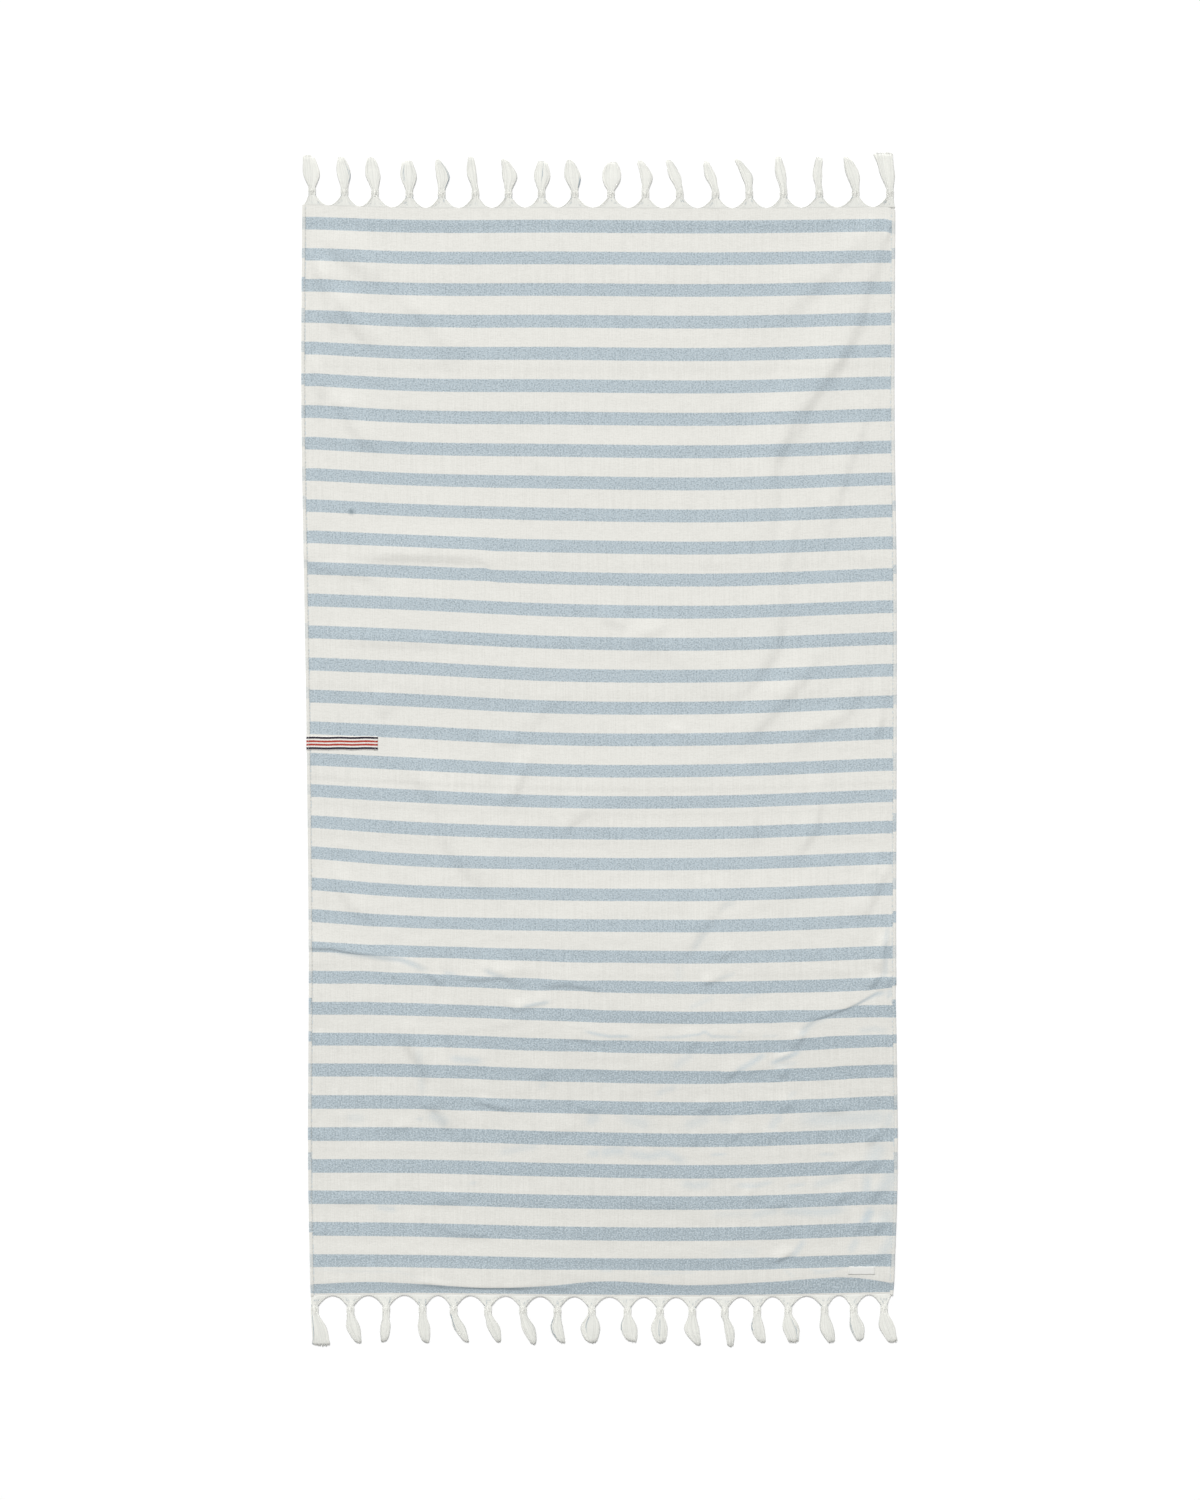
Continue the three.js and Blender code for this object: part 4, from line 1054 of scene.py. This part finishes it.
def wovenCottonStripes():
    made, add = newMaterial("wovenCottonStripes")
    flat = add("UVMap", uv_map="flatCloth")
    parts = add("SeparateXYZ", [flat])
    across, down = parts.outputs["X"], parts.outputs["Y"]
    grain = {}
    for name, (wide, long, detail) in stripes["grains"].items():
        grain[name] = addGrain(add, flat, (wide, long), detail)
    creaseShadeMask = add("Attribute", attribute_name="paintedCreaseShade").outputs["Fac"]
    shadeTinted = add("Attribute", attribute_name="paintedShadeTint").outputs["Fac"]
    # the painted shade in bands across the cloth
    close = add("Attribute", attribute_name="shadeBands").outputs["Fac"]

    # the turned hems are a second layer, whose stripes don't meet the cloth's and show paler
    offCentre = add("Math", [across, cloth["flatWidth"] * mm / 2], operation="SUBTRACT")
    offCentre = add("Math", [offCentre], operation="ABSOLUTE")
    hemLine = (cloth["flatWidth"] / 2 - hem["width"] - 0.2) * mm
    inHem = add("MapRange", [offCentre, hemLine - 0.3 * mm, hemLine + 0.3 * mm, 0.0, 1.0])
    slide = add("MapRange", [grain["slide"], 0.5, 0.75, 0.0, 0.012])
    slide = add("Math", [slide, inHem], operation="MULTIPLY")
    # painted shade along the hem's stitched groove, with pale blue-grey dashes in it
    fromLine = add("Math", [offCentre, hemLine - 0.6 * mm], operation="SUBTRACT")
    fromLine = add("Math", [fromLine], operation="ABSOLUTE")
    grooveShade = add("MapRange", [fromLine, 0.4 * mm, 1.3 * mm, 0.25, 0.0])
    dashes = add("MapRange", [grain["dash"], 0.48, 0.56, 0.0, 3.0])
    dashes = add("Math", [dashes, grooveShade], operation="MULTIPLY")

    # blue in the middle of each pitch, its edges a little frayed
    fray = add("MapRange", [grain["fray"], 0.0, 1.0, -0.8 * mm, 0.8 * mm])
    place = add("Math", [down, slide], operation="ADD")
    place = add("Math", [place, fray], operation="ADD")
    place = add("Math", [place, cloth["firstStripe"] * mm], operation="SUBTRACT")
    turn = add("Math", [place, cloth["stripePitch"] * mm], operation="DIVIDE")
    turn = add("Math", [turn, 20.5], operation="ADD")
    turn = add("Math", [turn], operation="FRACT")
    fromMiddle = add("Math", [turn, 0.5], operation="SUBTRACT")
    fromMiddle = add("Math", [fromMiddle], operation="ABSOLUTE")
    upper, lower = (share / 2 for share in stripes["blueShare"])
    half = add("MapRange", [down, 1.1, 1.5, upper, lower])
    margin = add("Math", [half, fromMiddle], operation="SUBTRACT")
    isBlue = add("MapRange", [margin, -0.012, 0.012, 0.0, 1.0], interpolation_type="SMOOTHSTEP")
    left, right = stripes["leftHem"], stripes["rightHem"]
    fromMiddle = add("Math", [down, left["middle"]], operation="SUBTRACT")
    fromMiddle = add("Math", [fromMiddle], operation="ABSOLUTE")
    leftTone = add("MapRange", [fromMiddle, left["until"], left["fullFrom"], left["least"], 1.0])
    rightTone = add("MapRange", [down, right["until"], right["fullFrom"], right["least"], 1.0])
    onRight = add("Math", [across, cloth["flatWidth"] * mm / 2], operation="GREATER_THAN")
    sideTone = add("Mix", [onRight, leftTone, rightTone])
    hemTone = add("MapRange", [grain["hemTone"], 0.4, 0.6, 0.45, 1.0])
    hemTone = add("Math", [hemTone, sideTone], operation="MULTIPLY")
    paler = add("Mix", [inHem, 1.0, hemTone])
    isBlue = add("Math", [isBlue, paler], operation="MULTIPLY")

    # the tone: streaks, clouds and specks of the yarn, with painted shade in bands across, in the hem's
    # groove, and darker towards the bottom end, most on its right
    # painted shade: darker towards the bottom end, and more so on its right
    towardsBottom = add("MapRange", [down, 1.02, 1.36, 0.0, 1.0], interpolation_type="SMOOTHSTEP")
    rightward = add("MapRange", [across, 0.1, 0.5, 0.5, 1.0])
    shaded = add("Math", [towardsBottom, rightward], operation="MULTIPLY")
    tint = add("MapRange", [grain["streak"], 0.35, 0.65, 0.0, 0.28])
    for source, low, high, much in (
        (grain["cloud"], 0.35, 0.7, 0.16),
        (grain["speck"], 0.3, 0.7, 0.4),
        (grain["ply"], 0.35, 0.65, 0.22),
        (shaded, 0.0, 1.0, 0.26),
        (close, 0.0, 1.0, 0.3),
        (grooveShade, 0.0, 1.0, 1.0),
    ):
        more = add("MapRange", [source, low, high, 0.0, much])
        tint = add("Math", [tint, more], operation="ADD")
    tint = add("Math", [tint, 0.33], operation="SUBTRACT", use_clamp=True)
    white = add("Mix", [tint, colour(stripes["white"]), colour(stripes["whiteShade"])], data_type="RGBA")
    deeper = add("MapRange", [towardsBottom, 0.0, 1.0, -0.15, -0.13])
    mottle = add("MapRange", [grain["speck"], 0.3, 0.7, -0.28, 0.78])
    deeper = add("Math", [deeper, mottle], operation="ADD")
    deeper = add("Math", [tint, deeper], operation="ADD", use_clamp=True)
    blue = add("Mix", [deeper, colour(stripes["blue"]), colour(stripes["blueShade"])], data_type="RGBA")
    slub = add("MapRange", [grain["slub"], 0.54, 0.68, 0.0, 0.6])
    blue = add("Mix", [slub, blue, colour(stripes["slub"])], data_type="RGBA")
    # painted shade: the blue deepened along the folds' shaded sides
    creaseShadeShare = add("Math", [creaseShadeMask, 0.6], operation="MULTIPLY")
    blue = add("Mix", [creaseShadeShare, blue, colour(stripes["paintedShadeBlue"])], data_type="RGBA")
    # painted shade on the white: pale blue-grey along creases, broken up by the speck grain, and dashes
    # along the hem's groove
    broken = add("MapRange", [grain["speck"], 0.3, 0.7, 0.55, 1.2])
    shadeTinted = add("Math", [shadeTinted, broken], operation="MULTIPLY")
    shadeTinted = add("Math", [shadeTinted, dashes], operation="MAXIMUM")
    white = add("Mix", [shadeTinted, white, colour(stripes["mark"])], data_type="RGBA")
    base = add("Mix", [isBlue, white, blue], data_type="RGBA")

    # a small old stain
    spotAt = tuple(part * mm for part in stripes["spotAt"]) + (0,)
    away = add("VectorMath", [flat, spotAt], operation="DISTANCE").outputs["Value"]
    spotSize = stripes["spotSize"] * mm
    stain = add("MapRange", [away, 0.0, spotSize, 0.75, 0.0], interpolation_type="SMOOTHSTEP")
    base = add("Mix", [stain, base, colour(stripes["spot"])], data_type="RGBA")

    weave = add("Math", [grain["warp"], grain["weft"]], operation="ADD")
    endMaterial(
        add, base, weave, relief=(0.45, 0.3), rough=(0.86, 0.97), between=(0.7, 1.3), sheen=(0.08, 0.6))
    return made


# Loose cotton yarn, hardly twisted: matt, each yarn a little lighter or darker than the next.
def looseCottonYarn():
    made, add = newMaterial("looseCottonYarn")
    tone = add("Attribute", attribute_name="yarnTone").outputs["Fac"]
    darker = add("MapRange", [tone, 0.0, 0.6, 0.0, 1.0])
    light = add("Mix", [darker, colour("#f3f3ed"), colour("#d8d9d4")], data_type="RGBA")
    # tone 1 is painted shade: blue-grey where crevices between the yarns are shaded
    paintedShade = add("MapRange", [tone, 0.65, 0.9, 0.0, 0.85])
    base = add("Mix", [paintedShade, light, colour("#8da0ab")], data_type="RGBA")
    fibre = addGrain(add, add("TexCoord").outputs["Object"], (0.9, 3, 0.9), 3.0)
    endMaterial(add, base, fibre, relief=(0.5, 0.4), rough=(0.85, 0.98), sheen=(0.08, 0.6))
    return made


# A close-woven cotton tape: smoother than the cloth, with dyed lines woven along it.
def closeWovenTape():
    made, add = newMaterial("closeWovenTape")
    flat = add("UVMap", uv_map="flatCloth")
    parts = add("SeparateXYZ", [flat])
    fray = addGrain(add, flat, (1.6, 2.4), 2.0)
    stray = add("MapRange", [fray, 0.0, 1.0, -0.4 * mm, 0.4 * mm])
    side = add("Math", [parts.outputs["Y"], stray], operation="ADD")
    side = add("Math", [side], operation="ABSOLUTE")
    fleck = add("MapRange", [fray, 0.55, 0.75, 0.0, 0.15])
    base = colour("#f0eee8")
    for middle, halfWide, dyeAndShade in tape["lines"]:
        away = add("Math", [side, middle * mm], operation="SUBTRACT")
        away = add("Math", [away], operation="ABSOLUTE")
        line = add("MapRange", [away, (halfWide - 0.15) * mm, (halfWide + 0.15) * mm, 1.0, 0.0])
        yarn = add("Mix", [fleck, colour(dyeAndShade), colour("#c9b5ae")], data_type="RGBA")
        base = add("Mix", [line, base, yarn], data_type="RGBA")
    rib = addGrain(add, flat, (1.1, 5), 1.0)
    endMaterial(add, base, rib, relief=(0.5, 0.3), rough=(0.75, 0.9), sheen=(0.05, 0.5))
    return made


# A damask-woven label of fine yarn: smooth, a little glossier than the cloth, and left bare.
def fineWovenLabel():
    made, add = newMaterial("fineWovenLabel")
    flat = add("UVMap", uv_map="flatCloth")
    rib = addGrain(add, flat, (0.9, 4), 1.0)
    base = add("Mix", [rib, colour("#ebebe7"), colour("#dededa")], data_type="RGBA")
    endMaterial(add, base, rib, relief=(0.4, 0.2), rough=(0.55, 0.7))
    return made


# Spun polyester sewing thread: fine, slightly shiny, twisted.
def spunThread():
    made, add = newMaterial("spunThread")
    strand = addGrain(add, add("TexCoord").outputs["Object"], (0.5, 0.5, 0.5), 2.0)
    base = add("Mix", [strand, colour("#ebeae4"), colour("#d5d3cb")], data_type="RGBA")
    endMaterial(add, base, strand, relief=(0.4, 0.1), rough=(0.5, 0.7))
    return made


for finish, slotName, pieces in (
    (wovenCottonStripes(), "striped_cotton", [towelCloth]),
    (looseCottonYarn(), "cotton_yarn", allTassels),
    (closeWovenTape(), "ribbon_tape", [ribbonTape]),
    (fineWovenLabel(), "label_tape", [sewnLabel]),
    (spunThread(), "cotton_yarn", allStitches),
):
    for piece in pieces:
        piece.data.materials.append(finish)
        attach(piece, "root")
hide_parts("cloth")
print("materials made")

studio = {
    "floorSize": 14,
    "floorBelow": 0.2,
    "floor": "#f8f8f8",
    "floorGlow": 0.1,
    "keyStrength": 2.63,
    "keySoftness": 16,
    "keyHigh": 0.7,
    "ambient": 0.475,
    "fillAt": (-0.8, 2.3, 1.9),
    "fillSize": 1.6,
    "fillPower": 5,
    "lens": 85,
    "sensor": 36,
    "seenLength": 2.2689,
}


def makeFloor():
    bpy.ops.object.select_all(action="DESELECT")
    below = -studio["floorBelow"] * mm
    bpy.ops.mesh.primitive_plane_add(size=studio["floorSize"], location=(0, 0, below))
    floor = bpy.context.object
    floor.name = "studioFloor"
    bpy.ops.object.transform_apply(location=True, rotation=True, scale=True)
    made, add = newMaterial("paleStudioPaint")
    sweep = add("BsdfDiffuse", {"Color": colour(studio["floor"])})
    seen = add("LightPath").outputs["Is Camera Ray"]
    strength = add("Math", [seen, studio["floorGlow"]], operation="MULTIPLY")
    glow = add("Emission", {"Color": (1, 1, 1, 1), "Strength": strength})
    both = add("AddShader", [sweep, glow])
    add("OutputMaterial", [both])
    floor.data.materials.append(made)


def makeWorld():
    world = bpy.data.worlds.new("studioLight")
    world.use_nodes = True
    world.node_tree.nodes.clear()
    add = partial(addNode, world.node_tree)
    seen = add("LightPath").outputs["Is Camera Ray"]
    strength = add("Mix", [seen, studio["ambient"], 1.0])  # white where the camera sees past the floor
    backdrop = add("Background", {"Color": (1, 1, 1, 1), "Strength": strength})
    add("OutputWorld", [backdrop])
    bpy.context.scene.world = world


def aim(light, towards):
    # turns a light to shine from that direction
    light.rotation_mode = "QUATERNION"
    light.rotation_quaternion = Vector(towards).to_track_quat("Z", "Y")


def makeLights():
    bpy.ops.object.light_add(type="SUN")
    key = bpy.context.object
    key.name = "keyLight"
    key.data.energy = studio["keyStrength"]
    key.data.angle = math.radians(studio["keySoftness"])
    aim(key, keyTowards + (studio["keyHigh"],))

    bpy.ops.object.light_add(type="AREA", location=studio["fillAt"])
    fill = bpy.context.object
    fill.name = "fillLight"
    fill.data.size = studio["fillSize"]
    fill.data.energy = studio["fillPower"]
    aim(fill, studio["fillAt"])


def makeCamera():
    low, high = cadBox
    distance = studio["seenLength"] * studio["lens"] / studio["sensor"]
    bpy.ops.object.camera_add(location=((low.x + high.x) / 2, (low.y + high.y) / 2, distance))
    camera = bpy.context.object
    camera.rotation_euler = (0, 0, 0)
    camera.data.lens = studio["lens"]
    camera.data.sensor_width = studio["sensor"]
    bpy.context.scene.camera = camera


makeFloor()
makeWorld()
makeLights()
makeCamera()
bpy.context.scene.view_settings.view_transform = "Standard"
print("studio set")
